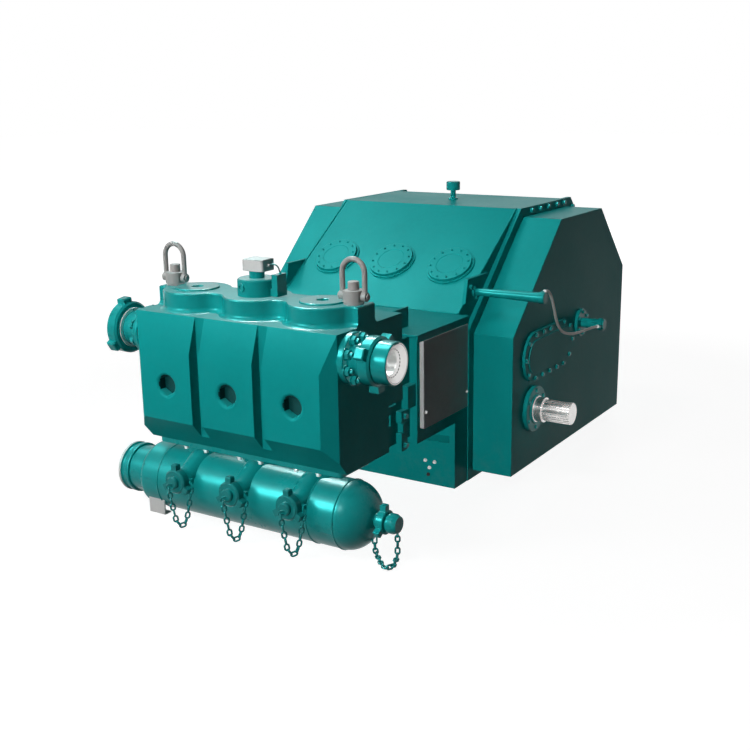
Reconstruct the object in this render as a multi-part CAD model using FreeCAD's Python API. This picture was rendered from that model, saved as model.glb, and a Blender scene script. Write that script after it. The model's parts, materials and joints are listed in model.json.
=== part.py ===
import FreeCAD, Part
import math
import os

# Triplex plunger pump for well fracturing: power end, fluid end and suction manifold.
# All lengths are millimetres and all angles degrees.
# X runs along the crankshaft, +X towards the driven end of the pinion shaft.
# Y runs along the plungers, from the fluid end to the back of the power end.
# Z is up, and z = 0 is the underside of the base.
# Sizes below measure y from the front face of the fluid end.
# Every finished piece is moved back by BASE_MID_Y, so the origin is the middle of the base.

V = FreeCAD.Vector

# Plunger layout
CYLINDER_COUNT = 3
CYLINDER_PITCH = 305.0
RUN_GAP = 0.05
SEAT_GAP = 0.3

# Fluid end block
BLOCK_HALF_WIDTH = 482.6
BLOCK_BOTTOM_Z = 328.0
BLOCK_TOP_Z = 864.0
BLOCK_STEP_Z = 515.0
BLOCK_LOWER_REAR_Y = 390.0
BLOCK_UPPER_REAR_Y = 495.0
PANEL_DEPTH = 47.0
PANEL_BOTTOM_Z = 442.0
PANEL_TOP_Z = 722.0
PANEL_FOOT_Z = 383.0
CHAMFER_REACH_Y = 94.0
GROOVE_WIDTH = 47.0
END_BEVEL_X = 433.0
SOCKET_Z = 585.0
SOCKET_CORNER_RADIUS = 42.5
SOCKET_DEPTH = 38.0
SOCKET_LEAD_IN = 8.0

# Lobed deck on top of the block
DECK_TOP_Z = 940.0
VALVE_Y = 218.0
LOBE_RADIUS = 137.0
VALLEY_FILLET = 60.0
END_FILLET = 40.0
REAR_FILLET = 30.0
DECK_FOOT_FILLET = 20.0
DECK_BAR_FRONT_Y = 186.0
DECK_BAR_REAR_Y = 300.0
DECK_EDGE_FILLET = 7.0
VALVE_COVER_RADIUS = 88.0
VALVE_COVER_RISE = 7.0
VALVE_SOCKET_RADIUS = 26.0
VALVE_SOCKET_DEPTH = 22.0

# Gauge adaptor and pressure sensor on the middle lobe
ADAPTOR_RADIUS = 77.0
ADAPTOR_HEIGHT = 66.0
STEM_RADIUS = 30.0
STEM_HEIGHT = 29.0
SENSOR_X = 8.0
SENSOR_WIDTH = 100.0
SENSOR_DEPTH = 78.0
SENSOR_HEIGHT = 46.0
BRACKET_X = 93.0
BRACKET_WIDTH = 26.0
BRACKET_DEPTH = 60.0
BRACKET_HEIGHT = 88.0
BRACKET_FOOT = 4.0
ARM_HEIGHT = 26.0
CABLE_DIAMETER = 6.0
GLAND_RADIUS = 5.5
GLAND_LENGTH = 12.0

# Swivel hoist rings
HOIST_X = 434.0
HOIST_Y = 234.0
HOIST_WASHER_RADIUS = 38.0
HOIST_WASHER_HEIGHT = 8.0
HOIST_STEM_RADIUS = 16.0
HOIST_BODY_HEIGHT = 44.0
HOIST_BODY_RADIUS = 41.0
HOIST_BODY_FLAT_X = 35.0
HOIST_HEAD_RADIUS = 21.0
HOIST_HEAD_HEIGHT = 32.0
BAIL_WIRE_RADIUS = 10.0
BAIL_HALF_SPAN = 49.0
BAIL_TOP_RISE = 146.0
BAIL_EYE_RADIUS = 17.0
BAIL_PIN_RADIUS = 8.0
BAIL_PIN_HEAD_RADIUS = 11.0
BAIL_PIN_HEAD = 5.0
BAIL_SIDE_GAP = 1.0

# Discharge unions on both ends of the block
DISCHARGE_Y = 137.0
DISCHARGE_Z = 764.0
DISCHARGE_FLANGE_RADIUS = 98.0
DISCHARGE_FLANGE_THICKNESS = 26.0
DISCHARGE_BORE_RADIUS = 43.0
DISCHARGE_BORE_START_X = 436.0
NECK_ROOT = 6.0
RIGHT_NECK_RADIUS = 62.0
RIGHT_SUB_RADIUS = 80.0
RIGHT_SUB_X = 612.0
RIGHT_END_X = 676.0
RIGHT_SEAT_RADIUS = 70.0
RIGHT_SEAT_DEPTH = 28.0
RIGHT_WING_RADIUS = 92.0
RIGHT_WING_LENGTH = 54.0
RIGHT_LUG_REACH = 120.0
RIGHT_LUG_ANGLES = (35.0, 155.0, 275.0)
LEFT_NECK_RADIUS = 68.0
LEFT_RING_RADIUS = 80.0
LEFT_RING_LENGTH = 7.0
LEFT_END_X = 638.0
LEFT_WING_RADIUS = 106.0
LEFT_WING_LENGTH = 54.0
LEFT_LUG_REACH = 125.0
LEFT_LUG_ANGLES = (98.0, 213.0, 333.0)
UNION_LUG_WIDTH = 42.0
UNION_LUG_LENGTH = 40.0
UNION_ROUND = 8.0

# Suction manifold under the block
MANIFOLD_Y = 168.0
MANIFOLD_Z = 140.0
MANIFOLD_RADIUS = 135.0
MANIFOLD_WALL = 9.0
MANIFOLD_LEFT_X = -528.0
DOME_EDGE_X = 450.0
DOME_DEPTH = 118.0
SHOULDER_FILLET = 28.0
NECK_RADIUS = 97.0
NECK_LENGTH = 86.0
COUPLING_RADIUS = 106.0
COUPLING_LENGTH = 58.0
COUPLING_GROOVE = 9.0
COUPLING_BORE_RADIUS = 86.0
RISER_RADIUS = 70.0
RISER_CLEAR = 5.0
RISER_Y = 200.0
PLATE_THICKNESS = 24.0
PLATE_HALF_LENGTH = 452.0
PLATE_FRONT_Y = 100.0
PLATE_REAR_Y = 300.0

# Front ports of the manifold with their wing caps
PORT_X = (-265.0, 12.0, 288.0)
PORT_Z = 200.0
PORT_TUBE_RADIUS = 40.0
PORT_FRONT_Y = 2.0
PORT_COLLAR_RADIUS = 47.0
PORT_COLLAR_LENGTH = 16.0
EAR_X = 52.0
EAR_DROP = 32.0
EAR_HEIGHT = 20.0
EAR_MARGIN = 7.0
CAP_LENGTH = 34.0
CAP_RADIUS = 50.0
CAP_LUG_REACH = 72.0
CAP_LUG_WIDTH = 26.0
CAP_NOSE_RADIUS = 26.0
CAP_NOSE_LENGTH = 16.0
NOZZLE_RADIUS = 30.0
NOZZLE_END_X = 580.0
NOZZLE_ROOT = 20.0
END_NUT_RADIUS = 47.0
END_NUT_LENGTH = 32.0
END_BLANK_RADIUS = 39.0
END_BLANK_LENGTH = 80.0
END_FACE_RADIUS = 31.0
END_LUG_REACH = 70.0

# Keeper chains
CHAIN_WIRE = 6.0
CHAIN_PITCH = 24.0
CHAIN_LINK_WIDTH = 22.0
CHAIN_PLAY = 0.8
CHAIN_CORNER_CUT = 7.0
CHAIN_TURN_RADIUS = 20.0
CHAIN_LOW_SHARE = 0.5
CHAIN_CLEAR_Z = 4.0
CHAIN_FLOOR_Z = 13.0
END_EYE_X = 652.0
END_EYE_Z = 92.0
DOME_EYE_X = 551.0
DOME_EYE_Z = 41.0
CHAIN_FAR_X = 717.0
CHAIN_FAR_Y = -6.0

# Power end housing
BASE_HALF_WIDTH = 484.0
BASE_FRONT_Y = 927.0
BASE_PLATE_TOP_Z = 346.0
BASE_NOTCH_Z = 204.0
BASE_NOTCH_INNER_X = 300.0
BASE_POST_WIDTH = 28.0
HOUSING_HALF_WIDTH = 466.0
HOUSING_TOP_Z = 1157.0
HOUSING_TOP_FRONT_Y = 1545.0
HOUSING_TOP_REAR_Y = 2056.0
SLOPE_FOOT_Y = 983.0
SLOPE_FOOT_Z = 767.0
CROSSHEAD_FRONT_Y = 605.0
CROSSHEAD_BOTTOM_Z = 300.0
SIDE_FLANGE_THICKNESS = 20.8
FLANGE_MARGIN = 40.0
FLANGE_REAR_TOP_Y = 2131.0

# Gear cases
CASE_SPIGOT = 4.0
CASE_SPIGOT_INSET = 6.0
CASE_INNER_X = HOUSING_HALF_WIDTH + SIDE_FLANGE_THICKNESS + CASE_SPIGOT
CASE_WIDTH = 187.7
CASE_OUTER_X = CASE_INNER_X + CASE_WIDTH
CASE_FRONT_Y = 1084.0
CASE_REAR_Y = 2394.0
CASE_BOTTOM_Z = 40.0
CASE_SLOPE_Z = 666.0
CASE_TOP_FRONT_Y = HOUSING_TOP_FRONT_Y + 24.0
CASE_TOP_REAR_Y = HOUSING_TOP_REAR_Y + 6.0
CASE_TOP_Z = 1117.5
CASE_REAR_Z = 791.5

# Covers on the gear cases
OVAL_Z = 542.0
OVAL_FRONT_Y = 1290.0
OVAL_REAR_Y = 1602.0
OVAL_RADIUS = 112.0
OVAL_THICKNESS = 14.0
OVAL_PAD_RADIUS = 76.0
OVAL_PAD_RISE = 5.0
PINION_Y = 1297.0
PINION_Z = 302.0
PINION_COVER_RADIUS = 104.0
PINION_COVER_THICKNESS = 20.0
PINION_COLLAR_RADIUS = 68.0
PINION_COLLAR_LENGTH = 6.0
JOURNAL_RADIUS = 59.0
JOURNAL_STAND_OFF = 1.5
JOURNAL_ROOM = 3.0
PILOT_RADIUS = 56.0
PILOT_LENGTH = 35.0
SHAFT_RADIUS = 49.0
SHAFT_INNER_X = 560.0
SPLINE_COUNT = 24
SPLINE_DEPTH = 4.0
SPLINE_RUN_OUT = 4.0
SPLINE_LENGTH = 126.0
SHAFT_CHAMFER = 2.5
LUBE_FLANGE_Y = 1825.0
LUBE_FLANGE_Z = 596.0
LUBE_FLANGE_RADIUS = 66.0
LUBE_FLANGE_THICKNESS = 16.0
LUBE_STUB_RADIUS = 24.0
LUBE_STUB_END_X = 805.0

# Inspection covers on the slope
INSPECTION_RADIUS = 103.0
INSPECTION_THICKNESS = 20.0
INSPECTION_RING_RADIUS = 112.0
INSPECTION_RING_RISE = 7.0
INSPECTION_FROM_TOP = 405.0

# Small pieces of the power end
BREATHER_X = 0.0
BREATHER_Y = 1800.0
BREATHER_STEM_RADIUS = 13.0
BREATHER_STEM_HEIGHT = 46.0
BREATHER_CAP_RADIUS = 34.0
BREATHER_CAP_HEIGHT = 42.0
LUG_THICKNESS = 18.0
LUG_TOP_Z = 910.0
LUG_TOP_FRONT_Y = 1040.0
LUG_LOW_Y = 1016.0
LUG_LOW_Z = 806.0
LUG_OVERLAP = 45.0
CANISTER_Y = 1100.0
CANISTER_Z = 848.0
CANISTER_END_X = 815.0
CANISTER_SMALL_RADIUS = 15.0
CANISTER_BIG_RADIUS = 25.0
CANISTER_CAP_LENGTH = 26.0
HOSE_DIAMETER = 12.0
HOSE_SPIGOT_RADIUS = 9.0
HOSE_SPIGOT_X = 792.0

# Sheet covers of the crosshead section
COVER_TOP_Z = 767.0
COVER_THICKNESS = 12.0
COVER_OVERHANG = 36.0
COVER_HALF_WIDTH = BASE_HALF_WIDTH + COVER_OVERHANG
COVER_FRONT_Y = 548.0
COVER_FLANGE_DROP = 32.0
COVER_FLANGE_THICKNESS = 8.0
GUARD_HEIGHT = 82.0
GUARD_LENGTH = 132.0
GUARD_X = 392.0
GUARD_THICKNESS = 10.0
DOOR_STAND_OFF = 11.0
DOOR_THICKNESS = 20.0
DOOR_OUTER_X = BASE_HALF_WIDTH + DOOR_STAND_OFF + DOOR_THICKNESS
DOOR_FRONT_Y = 606.0
DOOR_REAR_Y = 985.0
DOOR_BOTTOM_Z = 366.0
DOOR_TOP_Z = 733.0
DOOR_FRAME_MARGIN = 22.0

# Spacer between the power end and the fluid end
STAY_HALF_WIDTH = 450.0
STAY_TOP_Z = 745.0
STAY_BOTTOM_Z = 326.0
STAY_FOOT_FRONT_Y = 434.0
STAY_FOOT_NOTCH_Z = 410.0
STAY_FOOT_TOP_Z = 490.0
STAY_FOOT_WIDTH = 60.0
STAY_NOTCH_DEPTH = 22.0
STAY_LIP_HEIGHT = 34.0

# Base bolt holes
BASE_BOLT_RADIUS = 16.0
BASE_BOLT_FRONT_Y = 1140.0
BASE_BOLT_REAR_Y = 2300.0
BASE_BOLT_DEPTH = 60.0
BASE_BOLT_X = 400.0

BASE_MID_Y = (BASE_FRONT_Y + CASE_REAR_Y) / 2


def box(x0, x1, y0, y1, z0, z1):
    return Part.makeBox(x1 - x0, y1 - y0, z1 - z0, V(x0, y0, z0))


def rod(radius, start, direction, length):
    return Part.makeCylinder(radius, length, V(*start), V(*direction))


def rod_x(radius, x0, x1, y, z):
    return rod(radius, (x0, y, z), (1, 0, 0), x1 - x0)


def rod_y(radius, y0, y1, x, z):
    return rod(radius, (x, y0, z), (0, 1, 0), y1 - y0)


def rod_z(radius, z0, z1, x, y):
    return rod(radius, (x, y, z0), (0, 0, 1), z1 - z0)


def prism_x(outline, x0, x1):
    """Solid of a (y, z) outline between two x planes."""
    wire = Part.makePolygon([V(x0, y, z) for y, z in outline + outline[:1]])
    return Part.Face(wire).extrude(V(x1 - x0, 0, 0))


def prism_y(outline, y0, y1):
    """Solid of an (x, z) outline between two y planes."""
    wire = Part.makePolygon([V(x, y0, z) for x, z in outline + outline[:1]])
    return Part.Face(wire).extrude(V(0, y1 - y0, 0))


def prism_z(outline, z0, z1):
    """Solid of an (x, y) outline between two z planes."""
    wire = Part.makePolygon([V(x, y, z0) for x, y in outline + outline[:1]])
    return Part.Face(wire).extrude(V(0, 0, z1 - z0))


def regular_outline(sides, radius, centre, turn=0.0):
    """Corners of a regular polygon in a plane."""
    steps = [math.radians(turn + 360.0 * i / sides) for i in range(sides)]
    return [(centre[0] + radius * math.cos(a), centre[1] + radius * math.sin(a)) for a in steps]


def revolve_x(profile, y, z):
    """Turned solid about an X axis from (x, radius) points that start and end on the axis."""
    wire = Part.makePolygon([V(x, y, z + r) for x, r in profile + profile[:1]])
    return Part.Face(wire).revolve(V(0, y, z), V(1, 0, 0), 360)


def fuse(shapes):
    whole = shapes[0].multiFuse(shapes[1:]) if len(shapes) > 1 else shapes[0]
    return whole.removeSplitter()


def mirror_x(shape):
    return shape.mirror(V(0, 0, 0), V(1, 0, 0))


def cylinder_places():
    middle = (CYLINDER_COUNT - 1) / 2
    return [(i - middle) * CYLINDER_PITCH for i in range(CYLINDER_COUNT)]


# Fluid end

def block_profile():
    return [
        (PANEL_DEPTH, PANEL_FOOT_Z),
        (PANEL_DEPTH, BLOCK_TOP_Z),
        (BLOCK_UPPER_REAR_Y, BLOCK_TOP_Z),
        (BLOCK_UPPER_REAR_Y, BLOCK_STEP_Z),
        (BLOCK_LOWER_REAR_Y, BLOCK_STEP_Z),
        (BLOCK_LOWER_REAR_Y, BLOCK_BOTTOM_Z),
        (CHAMFER_REACH_Y, BLOCK_BOTTOM_Z),
    ]


def panel(plan):
    """One raised front panel: its plan outline cut to the chamfered side profile."""
    side = [
        (0.0, PANEL_BOTTOM_Z),
        (0.0, PANEL_TOP_Z),
        (PANEL_DEPTH, BLOCK_TOP_Z),
        (PANEL_DEPTH + 1.0, BLOCK_TOP_Z),
        (PANEL_DEPTH + 1.0, PANEL_FOOT_Z),
        (PANEL_DEPTH, PANEL_FOOT_Z),
    ]
    slab = prism_x(side, -BLOCK_HALF_WIDTH, BLOCK_HALF_WIDTH)
    return slab.common(prism_z(plan, PANEL_FOOT_Z, BLOCK_TOP_Z))


def front_panels():
    back = PANEL_DEPTH + 1.0
    inner = (CYLINDER_PITCH - GROOVE_WIDTH) / 2
    outer = inner + GROOVE_WIDTH
    middle = [(-inner, 0.0), (inner, 0.0), (inner, back), (-inner, back)]
    right = [
        (outer, 0.0),
        (END_BEVEL_X, 0.0),
        (BLOCK_HALF_WIDTH, PANEL_DEPTH),
        (BLOCK_HALF_WIDTH, back),
        (outer, back),
    ]
    end_panel = panel(right)
    return [panel(middle), end_panel, mirror_x(end_panel)]


def hexagon_socket(x):
    """Blind hexagon with a tapered mouth, sunk into a front panel."""
    corners = regular_outline(6, SOCKET_CORNER_RADIUS, (x, SOCKET_Z), 30.0)
    hexagon = prism_y(corners, -1.0, SOCKET_DEPTH)
    mouth = Part.makeCone(
        SOCKET_CORNER_RADIUS + SOCKET_LEAD_IN,
        SOCKET_CORNER_RADIUS - SOCKET_LEAD_IN,
        2 * SOCKET_LEAD_IN,
        V(x, -0.01, SOCKET_Z),
        V(0, 1, 0),
    )
    return hexagon.fuse(mouth)


def valley_filler(near, far, centre, radius):
    """Web between two plan points and a concave arc about the third."""
    web = prism_z([near, far, centre], BLOCK_TOP_Z - 1.0, DECK_TOP_Z)
    return web.cut(rod_z(radius, BLOCK_TOP_Z - 2.0, DECK_TOP_Z + 1.0, centre[0], centre[1]))


def deck():
    """Lobed deck: a bar along the block with one round lobe for each discharge valve."""
    foot = BLOCK_TOP_Z - 1.0
    places = cylinder_places()
    pieces = [box(-BLOCK_HALF_WIDTH, BLOCK_HALF_WIDTH, DECK_BAR_FRONT_Y, DECK_BAR_REAR_Y, foot, DECK_TOP_Z)]
    pieces += [rod_z(LOBE_RADIUS, foot, DECK_TOP_Z, x, VALVE_Y) for x in places]
    half = CYLINDER_PITCH / 2
    reach = LOBE_RADIUS + VALLEY_FILLET
    front = VALVE_Y - math.sqrt(reach ** 2 - half ** 2)
    for x in places[:-1]:
        pieces.append(valley_filler((x, VALVE_Y), (x + 2 * half, VALVE_Y), (x + half, front), VALLEY_FILLET))
    corners = [(x, side, DECK_BAR_REAR_Y, 1, REAR_FILLET) for x in places for side in (-1, 1)]
    corners += [(side * places[-1], side, DECK_BAR_FRONT_Y, -1, END_FILLET) for side in (-1, 1)]
    for x, side, wall_y, way, radius in corners:
        centre_y = wall_y + way * radius
        across = math.sqrt((LOBE_RADIUS + radius) ** 2 - (centre_y - VALVE_Y) ** 2)
        foot_x = x + side * across
        pieces.append(valley_filler((x, VALVE_Y), (foot_x, VALVE_Y), (foot_x, centre_y), radius))
    return fuse(pieces)


def round_deck(solid):
    """Large round at the foot of the deck and a small one on its rim."""
    foot = []
    rim = []
    for edge in solid.Edges:
        limits = edge.BoundBox
        if limits.ZMin > DECK_TOP_Z - 0.1:
            rim.append(edge)
        on_top = abs(limits.ZMin - BLOCK_TOP_Z) < 0.1 and limits.ZLength < 0.1
        inside = limits.YMin > PANEL_DEPTH + 1.0 and limits.YMax < BLOCK_UPPER_REAR_Y - 1.0
        if on_top and inside and limits.XLength > 0.1:
            foot.append(edge)
    solid = solid.makeFillet(DECK_FOOT_FILLET, foot)
    rim = [e for e in solid.Edges if e.BoundBox.ZMin > DECK_TOP_Z - 0.1]
    return solid.makeFillet(DECK_EDGE_FILLET, rim)


def fluid_end_block():
    body = prism_x(block_profile(), -BLOCK_HALF_WIDTH, BLOCK_HALF_WIDTH)
    solid = round_deck(fuse([body] + front_panels() + [deck()]))
    cuts = [hexagon_socket(x) for x in cylinder_places()]
    for side in (-1, 1):
        outer = side * (BLOCK_HALF_WIDTH + 1.0)
        inner = side * DISCHARGE_BORE_START_X
        low, high = min(outer, inner), max(outer, inner)
        cuts.append(rod_x(DISCHARGE_BORE_RADIUS, low, high, DISCHARGE_Y, DISCHARGE_Z))
    for x in (cylinder_places()[0], cylinder_places()[-1]):
        seat = DECK_TOP_Z - VALVE_SOCKET_DEPTH
        cuts.append(rod_z(VALVE_COVER_RADIUS, seat, DECK_TOP_Z + 1.0, x, VALVE_Y))
    return solid.cut(cuts)


def valve_cover(x):
    """Round screwed cover with a hexagon recess, sunk in its lobe."""
    seat = DECK_TOP_Z - VALVE_SOCKET_DEPTH
    top = DECK_TOP_Z + VALVE_COVER_RISE
    disc = rod_z(VALVE_COVER_RADIUS - SEAT_GAP, seat, top, x, VALVE_Y)
    disc = disc.makeChamfer(2.5, [e for e in disc.Edges if e.BoundBox.ZMin > top - 0.1])
    recess = prism_z(regular_outline(6, VALVE_SOCKET_RADIUS, (x, VALVE_Y)), seat + 6.0, top + 1.0)
    return disc.cut(recess)


def gauge_adaptor():
    base = DECK_TOP_Z
    top = base + ADAPTOR_HEIGHT
    drum = rod_z(ADAPTOR_RADIUS, base, top, 0.0, VALVE_Y)
    drum = drum.makeChamfer(5.0, [e for e in drum.Edges if e.BoundBox.ZMin > top - 0.1])
    stem = rod_z(STEM_RADIUS, top - 1.0, top + STEM_HEIGHT, 0.0, VALVE_Y)
    x1 = BRACKET_X + BRACKET_WIDTH
    y0 = VALVE_Y - BRACKET_DEPTH / 2
    y1 = VALVE_Y + BRACKET_DEPTH / 2
    foot = base + BRACKET_FOOT
    plate = box(BRACKET_X, x1, y0, y1, foot, base + BRACKET_HEIGHT)
    arm = box(ADAPTOR_RADIUS / 2, BRACKET_X + 1.0, VALVE_Y - 18.0, VALVE_Y + 18.0, foot, foot + ARM_HEIGHT)
    gland = end_fitting(cable_route()[-1], cable_route()[-2], GLAND_RADIUS, GLAND_LENGTH)
    return fuse([drum, stem, plate, arm, gland])


def pressure_sensor():
    z0 = DECK_TOP_Z + ADAPTOR_HEIGHT + STEM_HEIGHT
    x0 = SENSOR_X - SENSOR_WIDTH / 2
    y0 = VALVE_Y - SENSOR_DEPTH / 2
    shell = box(x0, x0 + SENSOR_WIDTH, y0, y0 + SENSOR_DEPTH, z0, z0 + SENSOR_HEIGHT)
    upright = [e for e in shell.Edges if abs(e.BoundBox.ZLength - SENSOR_HEIGHT) < 0.1]
    shell = shell.makeFillet(9.0, upright)
    rim = [e for e in shell.Edges if e.BoundBox.ZMin > z0 + SENSOR_HEIGHT - 0.1]
    gland = end_fitting(cable_route()[0], cable_route()[1], GLAND_RADIUS, GLAND_LENGTH)
    return fuse([shell.makeFillet(4.0, rim), gland])


# Hoist rings

def hoist_bolt(x):
    """Shouldered bolt: seat washer, stem and socket head. It stays fixed in the deck."""
    z0 = DECK_TOP_Z
    body_top = z0 + HOIST_WASHER_HEIGHT + SEAT_GAP + HOIST_BODY_HEIGHT
    washer = rod_z(HOIST_WASHER_RADIUS, z0, z0 + HOIST_WASHER_HEIGHT, x, HOIST_Y)
    stem = rod_z(HOIST_STEM_RADIUS, z0, body_top + SEAT_GAP + 1.0, x, HOIST_Y)
    head_z = body_top + SEAT_GAP
    head = rod_z(HOIST_HEAD_RADIUS, head_z, head_z + HOIST_HEAD_HEIGHT, x, HOIST_Y)
    upper = [e for e in head.Edges if e.BoundBox.ZMin > head_z + 1.0 and e.BoundBox.ZLength < 0.1]
    head = head.makeChamfer(2.0, upper)
    return fuse([washer, stem, head])


def bail_pin_z():
    return DECK_TOP_Z + HOIST_WASHER_HEIGHT + SEAT_GAP + HOIST_BODY_HEIGHT / 2


def hoist_swivel(x):
    """Turning body with two pins for the bail."""
    z0 = DECK_TOP_Z + HOIST_WASHER_HEIGHT + SEAT_GAP
    body = rod_z(HOIST_BODY_RADIUS, z0, z0 + HOIST_BODY_HEIGHT, x, HOIST_Y)
    flats = box(x - HOIST_BODY_FLAT_X, x + HOIST_BODY_FLAT_X, HOIST_Y - HOIST_BODY_RADIUS,
                HOIST_Y + HOIST_BODY_RADIUS, z0, z0 + HOIST_BODY_HEIGHT)
    body = body.common(flats)
    head_x = BAIL_HALF_SPAN + BAIL_WIRE_RADIUS + BAIL_SIDE_GAP
    tip = head_x + BAIL_PIN_HEAD
    pin = rod_x(BAIL_PIN_RADIUS, x - tip, x + tip, HOIST_Y, bail_pin_z())
    heads = [rod_x(BAIL_PIN_HEAD_RADIUS, x + head_x, x + tip, HOIST_Y, bail_pin_z()),
             rod_x(BAIL_PIN_HEAD_RADIUS, x - tip, x - head_x, HOIST_Y, bail_pin_z())]
    solid = fuse([body, pin] + heads)
    return solid.cut(rod_z(HOIST_STEM_RADIUS + RUN_GAP, z0 - 1.0, z0 + HOIST_BODY_HEIGHT + 1.0, x, HOIST_Y))


def hoist_bail(x):
    """Round bar bent to a U, with a flat eye at each end."""
    pin_z = bail_pin_z()
    crown_z = pin_z + BAIL_TOP_RISE - BAIL_WIRE_RADIUS - BAIL_HALF_SPAN
    left = V(x - BAIL_HALF_SPAN, HOIST_Y, pin_z)
    right = V(x + BAIL_HALF_SPAN, HOIST_Y, pin_z)
    left_top = V(left.x, HOIST_Y, crown_z)
    right_top = V(right.x, HOIST_Y, crown_z)
    crown = V(x, HOIST_Y, crown_z + BAIL_HALF_SPAN)
    path = Part.Wire([
        Part.LineSegment(left, left_top).toShape(),
        Part.Arc(left_top, crown, right_top).toShape(),
        Part.LineSegment(right_top, right).toShape(),
    ])
    section = Part.Wire([Part.makeCircle(BAIL_WIRE_RADIUS, left, V(0, 0, 1))])
    bar = path.makePipeShell([section], True, True)
    eyes = []
    for side in (-1, 1):
        middle = x + side * BAIL_HALF_SPAN
        near, far = middle - BAIL_WIRE_RADIUS, middle + BAIL_WIRE_RADIUS
        eyes.append(rod_x(BAIL_EYE_RADIUS, near, far, HOIST_Y, pin_z))
    solid = fuse([bar] + eyes)
    reach = BAIL_HALF_SPAN + BAIL_WIRE_RADIUS + 1.0
    return solid.cut(rod_x(BAIL_PIN_RADIUS + RUN_GAP, x - reach, x + reach, HOIST_Y, pin_z))


# Discharge unions, turned on the right side. The left ones are mirrored when exported.

def flange_profile(neck):
    """Points of the studded flange and the root of its neck."""
    x0 = BLOCK_HALF_WIDTH
    x1 = x0 + DISCHARGE_FLANGE_THICKNESS
    edge = 3.0
    return [
        (x0, DISCHARGE_BORE_RADIUS),
        (x0, DISCHARGE_FLANGE_RADIUS - edge),
        (x0 + edge, DISCHARGE_FLANGE_RADIUS),
        (x1 - edge, DISCHARGE_FLANGE_RADIUS),
        (x1, DISCHARGE_FLANGE_RADIUS - edge),
        (x1, neck + NECK_ROOT),
        (x1 + NECK_ROOT, neck),
    ]


def discharge_flange_right():
    """Flange, neck and union sub in one forging, with a tapered seat in its mouth."""
    edge = 3.0
    profile = flange_profile(RIGHT_NECK_RADIUS) + [
        (RIGHT_SUB_X, RIGHT_NECK_RADIUS),
        (RIGHT_SUB_X, RIGHT_SUB_RADIUS - edge),
        (RIGHT_SUB_X + edge, RIGHT_SUB_RADIUS),
        (RIGHT_END_X - edge, RIGHT_SUB_RADIUS),
        (RIGHT_END_X, RIGHT_SUB_RADIUS - edge),
        (RIGHT_END_X, RIGHT_SEAT_RADIUS),
        (RIGHT_END_X - RIGHT_SEAT_DEPTH, DISCHARGE_BORE_RADIUS),
    ]
    return revolve_x(profile, DISCHARGE_Y, DISCHARGE_Z)


def left_ring_x():
    """Back face of the collar that holds the left wing nut."""
    return LEFT_END_X - LEFT_WING_LENGTH + UNION_ROUND - LEFT_RING_LENGTH - SEAT_GAP


def discharge_flange_left():
    """Flange and plain neck with the collar that the left wing nut pulls on."""
    ring = left_ring_x()
    profile = flange_profile(LEFT_NECK_RADIUS) + [
        (ring, LEFT_NECK_RADIUS),
        (ring, LEFT_RING_RADIUS),
        (ring + LEFT_RING_LENGTH, LEFT_RING_RADIUS),
        (ring + LEFT_RING_LENGTH, LEFT_NECK_RADIUS),
        (LEFT_END_X, LEFT_NECK_RADIUS),
        (LEFT_END_X, DISCHARGE_BORE_RADIUS),
    ]
    return revolve_x(profile, DISCHARGE_Y, DISCHARGE_Z)


def wing_lug(x0, length, reach, width, radius, angle, y, z):
    """One square lug that stands out of a wing nut."""
    lug = box(x0, x0 + length, y - width / 2, y + width / 2, z + radius - 10.0, z + reach)
    lug = lug.makeChamfer(4.0, [e for e in lug.Edges if e.BoundBox.ZMin > z + reach - 0.1])
    return lug.rotate(V(x0, y, z), V(1, 0, 0), angle - 90.0)


def discharge_wing(x0, length, radius, inner, reach, angles):
    """Wing nut with rounded edges and three hammer lugs."""
    x1 = x0 + length
    profile = [
        (x0, inner),
        (x0, radius - UNION_ROUND),
        (x0 + UNION_ROUND, radius),
        (x1 - UNION_ROUND, radius),
        (x1, radius - UNION_ROUND),
        (x1, inner),
    ]
    pieces = [revolve_x(profile, DISCHARGE_Y, DISCHARGE_Z)]
    lug_x = (x0 + x1 - UNION_LUG_LENGTH) / 2
    for angle in angles:
        pieces.append(wing_lug(lug_x, UNION_LUG_LENGTH, reach, UNION_LUG_WIDTH, radius, angle,
                               DISCHARGE_Y, DISCHARGE_Z))
    return fuse(pieces)


def discharge_wing_right():
    """Loose nut behind the sub of the right union."""
    x0 = RIGHT_SUB_X - SEAT_GAP - RIGHT_WING_LENGTH
    inner = RIGHT_NECK_RADIUS + SEAT_GAP
    return discharge_wing(x0, RIGHT_WING_LENGTH, RIGHT_WING_RADIUS, inner, RIGHT_LUG_REACH, RIGHT_LUG_ANGLES)


def discharge_wing_left():
    """Nut at the mouth of the left union."""
    x0 = left_ring_x() + LEFT_RING_LENGTH + SEAT_GAP
    inner = LEFT_NECK_RADIUS + SEAT_GAP
    return discharge_wing(x0, LEFT_WING_LENGTH, LEFT_WING_RADIUS, inner, LEFT_LUG_REACH, LEFT_LUG_ANGLES)


# Suction manifold

def dome_seam_x():
    """The dome is welded on just beyond the last riser."""
    return cylinder_places()[-1] + RISER_RADIUS + RISER_CLEAR


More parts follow.
